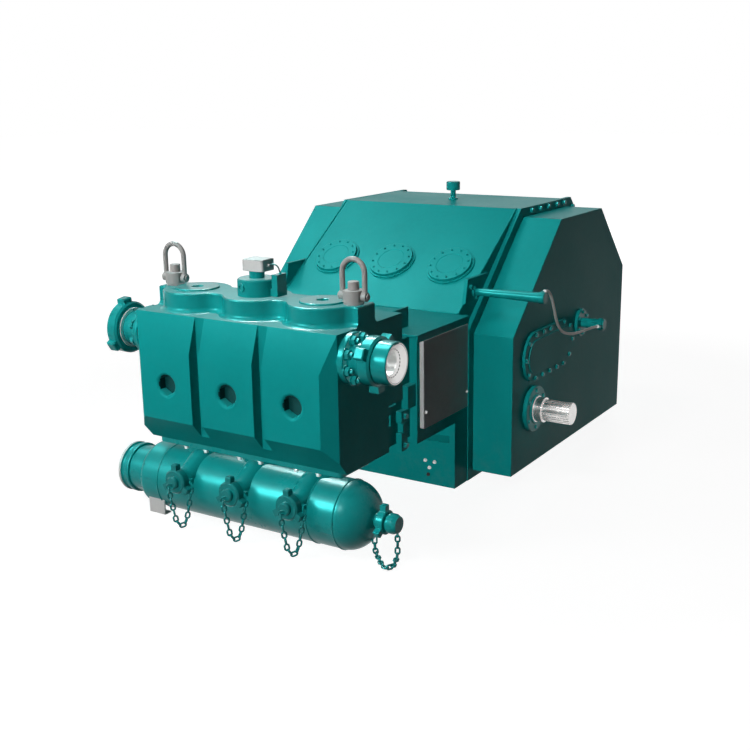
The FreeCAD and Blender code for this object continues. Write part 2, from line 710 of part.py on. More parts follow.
def manifold_pipe():
    """Main tube with a rounded left shoulder, its neck and three risers."""
    seam = dome_seam_x()
    left = MANIFOLD_LEFT_X
    outer = rod_x(MANIFOLD_RADIUS, left, seam, MANIFOLD_Y, MANIFOLD_Z)
    outer = outer.makeFillet(SHOULDER_FILLET, [e for e in outer.Edges if e.BoundBox.XMax < left + 0.1])
    neck = rod_x(NECK_RADIUS, left - NECK_LENGTH, left + 1.0, MANIFOLD_Y, MANIFOLD_Z)
    plate_bottom = BLOCK_BOTTOM_Z - PLATE_THICKNESS
    pieces = [outer, neck]
    pieces += [rod_z(RISER_RADIUS, MANIFOLD_Z, plate_bottom, x, RISER_Y) for x in cylinder_places()]
    solid = fuse(pieces)
    inner = MANIFOLD_RADIUS - MANIFOLD_WALL
    hollow = rod_x(inner, left + MANIFOLD_WALL, seam + 1.0, MANIFOLD_Y, MANIFOLD_Z)
    inlet = rod_x(COUPLING_BORE_RADIUS, left - NECK_LENGTH - 1.0, left + MANIFOLD_WALL + 1.0,
                  MANIFOLD_Y, MANIFOLD_Z)
    return solid.cut([hollow, inlet])


def port_stub(x):
    """Tube welded on the front of the manifold, with its collar and the ear for the chain."""
    collar_end = PORT_FRONT_Y + PORT_COLLAR_LENGTH
    tube = rod_y(PORT_TUBE_RADIUS, PORT_FRONT_Y, MANIFOLD_Y, x, PORT_Z)
    collar = rod_y(PORT_COLLAR_RADIUS, PORT_FRONT_Y, collar_end, x, PORT_Z)
    low, high = PORT_Z - EAR_HEIGHT / 2, PORT_Z + EAR_HEIGHT / 2
    ear = box(x, x + EAR_X + EAR_MARGIN, PORT_FRONT_Y, collar_end, low, high)
    solid = fuse([tube, collar, ear, eye(*front_loop(x)[1])])
    reach = EAR_X + EAR_MARGIN
    return solid.cut(rod_x(MANIFOLD_RADIUS, x - reach, x + reach, MANIFOLD_Y, MANIFOLD_Z))


def manifold_dome():
    """Pressed end cap: a short straight skirt and a half ellipsoid, with the end nozzle."""
    seam = dome_seam_x()
    edge = DOME_EDGE_X
    skirt = rod_x(MANIFOLD_RADIUS, seam, edge + 0.5, MANIFOLD_Y, MANIFOLD_Z)
    inner_skirt = rod_x(MANIFOLD_RADIUS - MANIFOLD_WALL, seam - 1.0, edge, MANIFOLD_Y, MANIFOLD_Z)
    cap = half_ellipsoid(edge, DOME_DEPTH, MANIFOLD_RADIUS)
    hollow = half_ellipsoid(edge - 0.5, DOME_DEPTH - MANIFOLD_WALL, MANIFOLD_RADIUS - MANIFOLD_WALL)
    root = edge + DOME_DEPTH - MANIFOLD_WALL - NOZZLE_ROOT
    nozzle = rod_x(NOZZLE_RADIUS, root, NOZZLE_END_X, MANIFOLD_Y, MANIFOLD_Z)
    solid = fuse([skirt, cap, nozzle, eye(*end_loop()[1])])
    return solid.cut([inner_skirt, hollow])


def half_ellipsoid(x, depth, radius):
    """Half of an ellipsoid of revolution about X, bulging to +X from a plane."""
    ball = Part.makeSphere(radius, V(0, 0, 0), V(1, 0, 0), 0, 90, 360)
    stretch = FreeCAD.Matrix()
    stretch.scale(depth / radius, 1.0, 1.0)
    return ball.transformGeometry(stretch).translate(V(x, MANIFOLD_Y, MANIFOLD_Z))


def manifold_flange():
    """Plate that bolts the manifold to the underside of the block."""
    top = BLOCK_BOTTOM_Z
    plate_bottom = top - PLATE_THICKNESS
    plate = box(-PLATE_HALF_LENGTH, PLATE_HALF_LENGTH, PLATE_FRONT_Y, PLATE_REAR_Y, plate_bottom, top)
    upright = [e for e in plate.Edges if abs(e.BoundBox.ZLength - PLATE_THICKNESS) < 0.1]
    return plate.makeFillet(18.0, upright)


def suction_coupling():
    """Grooved coupling ring on the neck, with its through bore."""
    x1 = MANIFOLD_LEFT_X - NECK_LENGTH
    x0 = x1 - COUPLING_LENGTH
    bead = 12.0
    waist = COUPLING_RADIUS - COUPLING_GROOVE
    profile = [
        (x0, COUPLING_BORE_RADIUS),
        (x0, COUPLING_RADIUS - 4.0),
        (x0 + 4.0, COUPLING_RADIUS),
        (x0 + bead, COUPLING_RADIUS),
        (x0 + bead + 6.0, waist),
        (x1 - bead - 12.0, waist),
        (x1 - bead - 6.0, COUPLING_RADIUS),
        (x1 - 3.0, COUPLING_RADIUS),
        (x1, COUPLING_RADIUS - 3.0),
        (x1, COUPLING_BORE_RADIUS),
    ]
    return revolve_x(profile, MANIFOLD_Y, MANIFOLD_Z)


def wing_cap():
    """Blank cap with three lugs and a nose, built about X with its seat at x = 0."""
    profile = [
        (0.0, 0.0),
        (0.0, CAP_RADIUS),
        (CAP_LENGTH - 6.0, CAP_RADIUS),
        (CAP_LENGTH, CAP_RADIUS - 6.0),
        (CAP_LENGTH, CAP_NOSE_RADIUS),
        (CAP_LENGTH + CAP_NOSE_LENGTH - 5.0, CAP_NOSE_RADIUS),
        (CAP_LENGTH + CAP_NOSE_LENGTH, CAP_NOSE_RADIUS - 5.0),
        (CAP_LENGTH + CAP_NOSE_LENGTH, 0.0),
    ]
    pieces = [revolve_x(profile, 0.0, 0.0)]
    for angle in (90.0, 210.0, 330.0):
        length = CAP_LENGTH - 8.0
        pieces.append(wing_lug(5.0, length, CAP_LUG_REACH, CAP_LUG_WIDTH, CAP_RADIUS, angle, 0.0, 0.0))
    return fuse(pieces)


def port_cap(x):
    cap = wing_cap()
    cap.rotate(V(0, 0, 0), V(0, 0, 1), -90.0)
    cap.translate(V(x, PORT_FRONT_Y, PORT_Z))
    return fuse([cap, eye(*front_loop(x)[0])])


def end_cap():
    """Wing nut with its blank on the end nozzle."""
    seat = NOZZLE_END_X
    nut = seat + END_NUT_LENGTH
    end = seat + END_BLANK_LENGTH
    profile = [
        (seat, 0.0),
        (seat, END_NUT_RADIUS - 3.0),
        (seat + 3.0, END_NUT_RADIUS),
        (nut - 3.0, END_NUT_RADIUS),
        (nut, END_NUT_RADIUS - 3.0),
        (nut, NOZZLE_RADIUS),
        (nut + 6.0, NOZZLE_RADIUS),
        (nut + 6.0, END_BLANK_RADIUS - 3.0),
        (nut + 9.0, END_BLANK_RADIUS),
        (end - 18.0, END_BLANK_RADIUS),
        (end, END_FACE_RADIUS),
        (end, 0.0),
    ]
    pieces = [revolve_x(profile, MANIFOLD_Y, MANIFOLD_Z), eye(*end_loop()[0])]
    for angle in (90.0, 210.0, 330.0):
        pieces.append(wing_lug(
            seat + 3.0, END_NUT_LENGTH - 6.0, END_LUG_REACH, CAP_LUG_WIDTH, END_NUT_RADIUS, angle,
            MANIFOLD_Y, MANIFOLD_Z
        ))
    return fuse(pieces)


# Power end

def slope_frame():
    """Unit vectors down the slope and out of it, in (y, z)."""
    dy = SLOPE_FOOT_Y - HOUSING_TOP_FRONT_Y
    dz = SLOPE_FOOT_Z - HOUSING_TOP_Z
    length = math.hypot(dy, dz)
    down = (dy / length, dz / length)
    out = (dz / length, -dy / length)
    return down, out


def case_outline():
    return [
        (CASE_FRONT_Y, CASE_BOTTOM_Z),
        (CASE_FRONT_Y, CASE_SLOPE_Z),
        (CASE_TOP_FRONT_Y, CASE_TOP_Z),
        (CASE_TOP_REAR_Y, CASE_TOP_Z),
        (CASE_REAR_Y, CASE_REAR_Z),
        (CASE_REAR_Y, CASE_BOTTOM_Z),
    ]


def flange_outline():
    """Gear case outline with a bolting margin all round, and a longer top at the back."""
    rise = (CASE_TOP_Z - CASE_SLOPE_Z) / (CASE_TOP_FRONT_Y - CASE_FRONT_Y)
    fall = (CASE_TOP_Z - CASE_REAR_Z) / (CASE_REAR_Y - CASE_TOP_REAR_Y)
    top = CASE_TOP_Z + FLANGE_MARGIN
    front = CASE_FRONT_Y - FLANGE_MARGIN
    rear = CASE_REAR_Y
    slant = FLANGE_MARGIN * math.hypot(1.0, rise)
    front_z = CASE_SLOPE_Z - FLANGE_MARGIN * rise + slant
    top_front_y = CASE_TOP_FRONT_Y + (top - CASE_TOP_Z - slant) / rise
    return [
        (front, 0.0),
        (front, front_z),
        (top_front_y, top),
        (FLANGE_REAR_TOP_Y, top),
        (rear, top - fall * (rear - FLANGE_REAR_TOP_Y)),
        (rear, 0.0),
    ]


def power_frame():
    """Welded housing: crank chamber, crosshead chamber, base plate and side flanges."""
    fall = (CASE_TOP_Z - CASE_REAR_Z) / (CASE_REAR_Y - CASE_TOP_REAR_Y)
    rear_z = HOUSING_TOP_Z - fall * (CASE_REAR_Y - HOUSING_TOP_REAR_Y)
    chamber = prism_x([
        (CASE_FRONT_Y - FLANGE_MARGIN, 0.0),
        (CASE_FRONT_Y - FLANGE_MARGIN, CROSSHEAD_BOTTOM_Z),
        (SLOPE_FOOT_Y, CROSSHEAD_BOTTOM_Z),
        (SLOPE_FOOT_Y, SLOPE_FOOT_Z),
        (HOUSING_TOP_FRONT_Y, HOUSING_TOP_Z),
        (HOUSING_TOP_REAR_Y, HOUSING_TOP_Z),
        (CASE_REAR_Y, rear_z),
        (CASE_REAR_Y, 0.0),
    ], -HOUSING_HALF_WIDTH, HOUSING_HALF_WIDTH)
    crosshead = box(-BASE_HALF_WIDTH, BASE_HALF_WIDTH, CROSSHEAD_FRONT_Y, CASE_FRONT_Y - FLANGE_MARGIN,
                    CROSSHEAD_BOTTOM_Z, COVER_TOP_Z - COVER_THICKNESS)
    foot = box(-BASE_HALF_WIDTH, BASE_HALF_WIDTH, BASE_FRONT_Y, CASE_FRONT_Y - FLANGE_MARGIN, 0.0,
               BASE_PLATE_TOP_Z)
    pieces = [chamber, crosshead, foot]
    for side in (-1, 1):
        inner = side * HOUSING_HALF_WIDTH
        outer = side * (HOUSING_HALF_WIDTH + SIDE_FLANGE_THICKNESS)
        pieces.append(prism_x(flange_outline(), min(inner, outer), max(inner, outer)))
    solid = fuse(pieces)
    cuts = []
    for side in (-1, 1):
        x0 = side * BASE_NOTCH_INNER_X
        x1 = side * (BASE_HALF_WIDTH - BASE_POST_WIDTH)
        cuts.append(box(min(x0, x1), max(x0, x1), BASE_FRONT_Y - 1.0, CASE_FRONT_Y - FLANGE_MARGIN - 30.0,
                        BASE_NOTCH_Z, CROSSHEAD_BOTTOM_Z))
        for y in (BASE_BOLT_FRONT_Y, BASE_BOLT_REAR_Y):
            cuts.append(rod_z(BASE_BOLT_RADIUS, -1.0, BASE_BOLT_DEPTH, side * BASE_BOLT_X, y))
    return solid.cut(cuts)


def gear_case():
    """Right gear case with the spigot that seats against the side flange."""
    body = prism_x(case_outline(), CASE_INNER_X, CASE_OUTER_X)
    corners = [V(CASE_INNER_X, y, z) for y, z in case_outline() + case_outline()[:1]]
    face = Part.Face(Part.makePolygon(corners))
    spigot = face.makeOffset2D(-CASE_SPIGOT_INSET, 2).extrude(V(-CASE_SPIGOT, 0, 0))
    bore_start = SHAFT_INNER_X - JOURNAL_ROOM
    bore_end = CASE_OUTER_X + 1.0
    bore = rod_x(JOURNAL_RADIUS + JOURNAL_ROOM, bore_start, bore_end, PINION_Y, PINION_Z)
    return fuse([body, spigot]).cut(bore)


def stadium(radius, x0, x1):
    ends = [rod_x(radius, x0, x1, y, OVAL_Z) for y in (OVAL_FRONT_Y, OVAL_REAR_Y)]
    middle = box(x0, x1, OVAL_FRONT_Y, OVAL_REAR_Y, OVAL_Z - radius, OVAL_Z + radius)
    return fuse([middle] + ends)


def oval_cover():
    x0 = CASE_OUTER_X
    x1 = x0 + OVAL_THICKNESS
    return fuse([stadium(OVAL_RADIUS, x0, x1), stadium(OVAL_PAD_RADIUS, x1 - 1.0, x1 + OVAL_PAD_RISE)])


def pinion_cover(bored):
    """Bearing cover with a raised collar. The driven side is bored for the shaft."""
    x0 = CASE_OUTER_X
    x1 = x0 + PINION_COVER_THICKNESS
    x2 = x1 + PINION_COLLAR_LENGTH
    inner = JOURNAL_RADIUS + RUN_GAP if bored else 0.0
    profile = [
        (x0, inner),
        (x0, PINION_COVER_RADIUS),
        (x1 - 3.0, PINION_COVER_RADIUS),
        (x1, PINION_COVER_RADIUS - 3.0),
        (x1, PINION_COLLAR_RADIUS),
        (x2 - 2.0, PINION_COLLAR_RADIUS),
        (x2, PINION_COLLAR_RADIUS - 2.0),
        (x2, inner),
    ]
    return revolve_x(profile, PINION_Y, PINION_Z)


def pinion_shaft():
    """Input shaft: journal in its cover, a pilot for the drive hub and a splined end."""
    shoulder = CASE_OUTER_X + PINION_COVER_THICKNESS + PINION_COLLAR_LENGTH + JOURNAL_STAND_OFF
    step = shoulder + PILOT_LENGTH
    start = step + SPLINE_RUN_OUT
    end = start + SPLINE_LENGTH
    profile = [
        (SHAFT_INNER_X, 0.0),
        (SHAFT_INNER_X, JOURNAL_RADIUS),
        (shoulder, JOURNAL_RADIUS),
        (shoulder, PILOT_RADIUS),
        (step, PILOT_RADIUS),
        (step, SHAFT_RADIUS),
        (end - SHAFT_CHAMFER, SHAFT_RADIUS),
        (end, SHAFT_RADIUS - SHAFT_CHAMFER),
        (end, 0.0),
    ]
    shaft = revolve_x(profile, PINION_Y, PINION_Z)
    width = math.pi * SHAFT_RADIUS / SPLINE_COUNT
    cuts = []
    for i in range(SPLINE_COUNT):
        groove = box(start, end + 1.0, PINION_Y - width / 2, PINION_Y + width / 2,
                     PINION_Z + SHAFT_RADIUS - SPLINE_DEPTH, PINION_Z + SHAFT_RADIUS + 2.0)
        cuts.append(groove.rotate(V(0, PINION_Y, PINION_Z), V(1, 0, 0), 360.0 * i / SPLINE_COUNT))
    return shaft.cut(cuts)


def lube_flange():
    """Round flange with the oil stub and the spigot for the hose."""
    x0 = CASE_OUTER_X
    x1 = x0 + LUBE_FLANGE_THICKNESS
    flange = rod_x(LUBE_FLANGE_RADIUS, x0, x1, LUBE_FLANGE_Y, LUBE_FLANGE_Z)
    flange = flange.makeChamfer(3.0, [e for e in flange.Edges if e.BoundBox.XMin > x1 - 0.1])
    stub = rod_x(LUBE_STUB_RADIUS, x1 - 1.0, LUBE_STUB_END_X, LUBE_FLANGE_Y, LUBE_FLANGE_Z)
    collar = rod_x(LUBE_STUB_RADIUS + 5.0, LUBE_STUB_END_X - 26.0, LUBE_STUB_END_X - 6.0, LUBE_FLANGE_Y,
                   LUBE_FLANGE_Z)
    tip, next_point = hose_route()[-1], hose_route()[-2]
    fitting = end_fitting(tip, next_point, HOSE_SPIGOT_RADIUS, LUBE_FLANGE_Y - tip.y)
    return fuse([flange, stub, collar, fitting])


def lube_canister():
    """Tapered oil canister held at its small end by the lug plate."""
    x0 = HOUSING_HALF_WIDTH + LUG_THICKNESS
    cap_x = CANISTER_END_X - CANISTER_CAP_LENGTH
    profile = [
        (x0, 0.0),
        (x0, CANISTER_SMALL_RADIUS + 8.0),
        (x0 + 8.0, CANISTER_SMALL_RADIUS + 8.0),
        (x0 + 8.0, CANISTER_SMALL_RADIUS),
        (cap_x, CANISTER_BIG_RADIUS - 2.0),
        (cap_x, CANISTER_BIG_RADIUS),
        (CANISTER_END_X - 3.0, CANISTER_BIG_RADIUS),
        (CANISTER_END_X, CANISTER_BIG_RADIUS - 3.0),
        (CANISTER_END_X, 0.0),
    ]
    body = revolve_x(profile, CANISTER_Y, CANISTER_Z)
    tip, next_point = hose_route()[0], hose_route()[1]
    return fuse([body, end_fitting(tip, next_point, HOSE_SPIGOT_RADIUS, tip.y - CANISTER_Y)])


def end_fitting(tip, next_point, radius, length):
    """Gland or spigot in line with a cord's end, sunk in the piece that carries it."""
    return Part.makeCylinder(radius, length, tip, (tip - next_point).normalize())


def hose_route():
    """Route of the oil hose, chosen by hand as shares of the way from the canister to the stub."""
    span = LUBE_FLANGE_Y - CANISTER_Y
    drop = CANISTER_Z - LUBE_FLANGE_Z
    points = [
        (0, 0.0303, -0.0714), (2, 0.0828, -0.0952), (5, 0.1324, 0.0079), (9, 0.1600, 0.2063),
        (12, 0.1876, 0.4206), (12, 0.2303, 0.6071), (10, 0.3007, 0.7460), (8, 0.4000, 0.8373),
        (5, 0.5131, 0.8968), (3, 0.6345, 0.9286), (1, 0.7586, 0.9484), (0, 0.8469, 0.9683),
        (0, 0.9241, 0.9960),
    ]
    return [V(HOSE_SPIGOT_X + x, CANISTER_Y + span * a, CANISTER_Z - drop * b) for x, a, b in points]


def tube_on(points, diameter):
    """Round tube along straight runs joined by tangent arcs."""
    edges = []
    radii = []
    start = points[0]
    for i in range(1, len(points) - 1):
        before = points[i] - points[i - 1]
        after = points[i + 1] - points[i]
        turn = before.getAngle(after)
        shorter = min(before.Length, after.Length)
        radius = 0.45 * shorter / math.tan(turn / 2)
        radii.append(round(radius, 1))
        cut = 0.45 * shorter
        a = points[i] - before.normalize() * cut
        b = points[i] + after.normalize() * cut
        chord_mid = (a + b) * 0.5
        inward = (chord_mid - points[i]).normalize()
        to_centre = radius / math.cos(turn / 2)
        middle = points[i] + inward * (to_centre - radius)
        edges.append(Part.LineSegment(start, a).toShape())
        edges.append(Part.Arc(a, middle, b).toShape())
        start = b
    edges.append(Part.LineSegment(start, points[-1]).toShape())
    path = Part.Wire(edges)
    section = Part.Wire([Part.makeCircle(diameter / 2, points[0], points[1] - points[0])])
    tube = path.makePipeShell([section], True, True)
    expected = math.pi * diameter ** 2 / 4 * path.Length
    share = round(tube.Volume / expected, 4)
    print("tube length", round(path.Length, 1), "volume share", share, "radii", radii)
    return tube


def lube_hose():
    return tube_on(hose_route(), HOSE_DIAMETER)


def cable_route():
    """Route of the sensor cable, chosen by hand from the box's side to the bracket's top."""
    start_x = SENSOR_X + SENSOR_WIDTH / 2 + GLAND_LENGTH / 2
    end_x = BRACKET_X + BRACKET_WIDTH - 8.0
    start_z = DECK_TOP_Z + ADAPTOR_HEIGHT + STEM_HEIGHT + SENSOR_HEIGHT / 2
    end_z = DECK_TOP_Z + BRACKET_HEIGHT + GLAND_LENGTH / 2
    across = end_x - start_x
    points = [
        (0.0, start_z),
        (0.28, start_z + 5.0),
        (0.62, start_z + 4.0),
        (0.9, start_z - 6.0),
        (1.0, end_z),
    ]
    return [V(start_x + across * share, VALVE_Y, z) for share, z in points]


def sensor_cable():
    """Short cable that arches from the sensor box to the bracket beside it."""
    return tube_on(cable_route(), CABLE_DIAMETER)


def on_slope(x, from_top, rise):
    """Point on the sloping front plate, measured down from its top edge."""
    down, out = slope_frame()
    y = HOUSING_TOP_FRONT_Y + down[0] * from_top + out[0] * rise
    z = HOUSING_TOP_Z + down[1] * from_top + out[1] * rise
    return (x, y, z)


def inspection_cover(x):
    """Round cover with a raised outer ring, seated square on the slope."""
    down, out = slope_frame()
    axis = (0.0, out[0], out[1])
    disc = rod(INSPECTION_RADIUS, on_slope(x, INSPECTION_FROM_TOP, 0.0), axis, INSPECTION_THICKNESS)
    ring = rod(INSPECTION_RING_RADIUS, on_slope(x, INSPECTION_FROM_TOP, 0.0), axis, INSPECTION_RING_RISE)
    dish_rise = INSPECTION_THICKNESS - 4.0
    dish = rod(INSPECTION_RADIUS * 0.6, on_slope(x, INSPECTION_FROM_TOP, dish_rise), axis, 10.0)
    return fuse([disc, ring]).cut(dish)


def breather():
    z0 = HOUSING_TOP_Z
    stem_top = z0 + BREATHER_STEM_HEIGHT
    foot = rod_z(BREATHER_STEM_RADIUS * 1.8, z0, z0 + 8.0, BREATHER_X, BREATHER_Y)
    stem = rod_z(BREATHER_STEM_RADIUS, z0, stem_top, BREATHER_X, BREATHER_Y)
    cap = rod_z(BREATHER_CAP_RADIUS, stem_top - 1.0, stem_top + BREATHER_CAP_HEIGHT, BREATHER_X, BREATHER_Y)
    cap = cap.makeFillet(5.0, [e for e in cap.Edges if e.BoundBox.ZLength < 0.1])
    return fuse([foot, stem, cap])


def lug_plate():
    """Upright plate welded on the right side of the housing, in front of its slope."""
    down, out = slope_frame()

    def seat_y(z):
        return HOUSING_TOP_FRONT_Y + (z - HOUSING_TOP_Z) * down[0] / down[1] + LUG_OVERLAP

    outline = [
        (seat_y(LUG_LOW_Z), LUG_LOW_Z),
        (LUG_LOW_Y, LUG_LOW_Z),
        (LUG_TOP_FRONT_Y, LUG_TOP_Z),
        (seat_y(LUG_TOP_Z), LUG_TOP_Z),
    ]
    return prism_x(outline, HOUSING_HALF_WIDTH, HOUSING_HALF_WIDTH + LUG_THICKNESS)


def top_cover():
    """Sheet cover with turned-down sides and an upright guard at its front right."""
    x1 = COVER_HALF_WIDTH
    z0 = COVER_TOP_Z - COVER_THICKNESS
    sheet = box(-x1, x1, COVER_FRONT_Y, SLOPE_FOOT_Y, z0, COVER_TOP_Z)
    low = COVER_TOP_Z - COVER_FLANGE_DROP
    pieces = [sheet]
    for side in (-1, 1):
        inner = side * (x1 - COVER_FLANGE_THICKNESS)
        outer = side * x1
        pieces.append(box(min(inner, outer), max(inner, outer), COVER_FRONT_Y, SLOPE_FOOT_Y, low, z0 + 1.0))
    guard = box(GUARD_X, GUARD_X + GUARD_THICKNESS, COVER_FRONT_Y, COVER_FRONT_Y + GUARD_LENGTH,
                COVER_TOP_Z - 1.0, COVER_TOP_Z + GUARD_HEIGHT)
    corner = [e for e in guard.Edges if e.BoundBox.ZMin > COVER_TOP_Z + GUARD_HEIGHT - 0.1
              and e.BoundBox.YMax < COVER_FRONT_Y + 0.1]
    pieces.append(guard.makeFillet(30.0, corner))
    return fuse(pieces)


def side_door():
    """Pale sheet door on a narrower frame, on the right side of the crosshead chamber."""
    inner_x = DOOR_OUTER_X - DOOR_THICKNESS
    sheet = box(inner_x, DOOR_OUTER_X, DOOR_FRONT_Y, DOOR_REAR_Y, DOOR_BOTTOM_Z, DOOR_TOP_Z)
    edges = [e for e in sheet.Edges if abs(e.BoundBox.XLength - DOOR_THICKNESS) < 0.1]
    sheet = sheet.makeFillet(8.0, edges)
    m = DOOR_FRAME_MARGIN
    frame = box(BASE_HALF_WIDTH, DOOR_OUTER_X - DOOR_THICKNESS + 1.0, DOOR_FRONT_Y + m, DOOR_REAR_Y - m,
                DOOR_BOTTOM_Z + m, DOOR_TOP_Z - m)
    return fuse([sheet, frame])


def stay_block():
    """Spacer frame bolted between the block and the crosshead chamber, with stepped feet."""
    front, rear = BLOCK_UPPER_REAR_Y, CROSSHEAD_FRONT_Y
    main = box(-STAY_HALF_WIDTH, STAY_HALF_WIDTH, front, rear, STAY_BOTTOM_Z, STAY_TOP_Z)
    pieces = [main]
    for side in (-1, 1):
        x0 = side * (STAY_HALF_WIDTH - STAY_FOOT_WIDTH)
        x1 = side * STAY_HALF_WIDTH
        outline = [
            (STAY_FOOT_FRONT_Y, STAY_FOOT_TOP_Z),
            (BLOCK_UPPER_REAR_Y + 1.0, STAY_FOOT_TOP_Z),
            (BLOCK_UPPER_REAR_Y + 1.0, STAY_BOTTOM_Z),
            (STAY_FOOT_FRONT_Y, STAY_BOTTOM_Z),
            (STAY_FOOT_FRONT_Y, STAY_FOOT_NOTCH_Z),
            (STAY_FOOT_FRONT_Y + STAY_NOTCH_DEPTH, STAY_FOOT_NOTCH_Z),
            (STAY_FOOT_FRONT_Y + STAY_NOTCH_DEPTH, STAY_FOOT_TOP_Z - STAY_LIP_HEIGHT),
            (STAY_FOOT_FRONT_Y, STAY_FOOT_TOP_Z - STAY_LIP_HEIGHT),
        ]
        pieces.append(prism_x(outline, min(x0, x1), max(x0, x1)))
    return fuse(pieces)


# Keeper chains

def chain_link(start, end, flat):
    """Long ring of square wire between two wire centres, lying flat to the given vector."""
    along = (end - start).normalize()
    side = flat.cross(along).normalize()
    centre = (start + end) * 0.5
    half_span = (end - start).Length / 2
    half_width = CHAIN_LINK_WIDTH / 2

    def ring(half_l, half_w, cut):
        corners = [
            (half_l, half_w - cut), (half_l - cut, half_w), (cut - half_l, half_w), (-half_l, half_w - cut),
            (-half_l, cut - half_w), (cut - half_l, -half_w), (half_l - cut, -half_w), (half_l, cut - half_w),
        ]
        base = centre - flat * (CHAIN_WIRE / 2)
        places = [base + along * u + side * w for u, w in corners]
        return Part.Face(Part.makePolygon(places + places[:1])).extrude(flat * CHAIN_WIRE)

    hole_width = half_width - CHAIN_WIRE
    hole_cut = hole_width - CHAIN_WIRE / 2 - CHAIN_PLAY / 4
    outer = ring(half_span + CHAIN_WIRE / 2, half_width, CHAIN_CORNER_CUT)
    return outer.cut(ring(half_span - CHAIN_WIRE / 2, hole_width, hole_cut))


def eye(place, outward, flat):
    """Fixed eye: a link sunk for half its length in the piece that carries it."""
    reach = CHAIN_WIRE + CHAIN_PLAY
    return chain_link(place - outward * (CHAIN_PITCH + reach), place, flat)


def front_loop(x):
    """Places, directions and flats of the two eyes of a front port's chain."""
    nose_y = PORT_FRONT_Y - CAP_LENGTH - CAP_NOSE_LENGTH
    start = V(x - 10.0, nose_y - 14.0, PORT_Z - 12.0)
    end = V(x + EAR_X, PORT_FRONT_Y + PORT_COLLAR_LENGTH / 2, PORT_Z - EAR_DROP)
    across = V(end.x - start.x, end.y - start.y, 0).normalize()
    face = across.cross(V(0, 0, 1))
    return (start, -across, face), (end, V(0, 0, -1), across)


def end_loop():
    """Places, directions and flats of the two eyes of the end nozzle's chain."""
    start = V(END_EYE_X, MANIFOLD_Y, END_EYE_Z)
    end = V(DOME_EYE_X, MANIFOLD_Y, DOME_EYE_Z)
    down = V(0, 0, -1)
    far = V(CHAIN_FAR_X, CHAIN_FAR_Y, 0)
    out = V(far.x - start.x, far.y - start.y, 0).normalize()
    back = V(end.x - far.x, end.y - far.y, 0).normalize()
    return (start, down, V(0, 0, 1).cross(out)), (end, down, back)


def hanging_path(start, end):
    """V-shaped line between two places: two straight strands and a round turn above the floor."""
    radius = CHAIN_TURN_RADIUS
    across = V(end.x - start.x, end.y - start.y, 0)
    centre = start + across * CHAIN_LOW_SHARE
    centre.z = CHAIN_CLEAR_Z + CHAIN_LINK_WIDTH / 2 + radius
    across = across.normalize()

    def touch(point, side):
        reach = point - centre
        flat = reach.dot(across)
        turn = math.atan2(reach.z, flat) + side * math.acos(radius / math.hypot(flat, reach.z))
        return centre + across * (radius * math.cos(turn)) + V(0, 0, radius * math.sin(turn))

    left = touch(start, 1)
    right = touch(end, -1)
    return Part.Wire([
        Part.LineSegment(start, left).toShape(),
        Part.Arc(left, centre - V(0, 0, radius), right).toShape(),
        Part.LineSegment(right, end).toShape(),
    ])


def floor_path(start, end):
    """Line that drops to the floor, lies on it out to a far place and back, and rises again."""
    corners = [
        start,
        V(start.x, start.y, CHAIN_FLOOR_Z),
        V(CHAIN_FAR_X, CHAIN_FAR_Y, CHAIN_FLOOR_Z),
        V(end.x, end.y, CHAIN_FLOOR_Z),
        end,
    ]
    edges = []
    here = start
    for i in range(1, len(corners) - 1):
        before = (corners[i] - corners[i - 1]).normalize()
        after = (corners[i + 1] - corners[i]).normalize()
        turn = before.getAngle(after)
        cut = CHAIN_TURN_RADIUS * math.tan(turn / 2)
        a = corners[i] - before * cut
        b = corners[i] + after * cut
        inward = (after - before).normalize()
        middle = corners[i] + inward * (CHAIN_TURN_RADIUS / math.cos(turn / 2) - CHAIN_TURN_RADIUS)
        edges.append(Part.LineSegment(here, a).toShape())
        edges.append(Part.Arc(a, middle, b).toShape())
        here = b
    edges.append(Part.LineSegment(here, end).toShape())
    return Part.Wire(edges)


def wire_room(turn):
    """Half the distance between two crossing square wires whose links meet at an angle."""
    return CHAIN_WIRE / 4 * (1 + math.cos(turn) + math.sin(turn)) + CHAIN_PLAY / 2


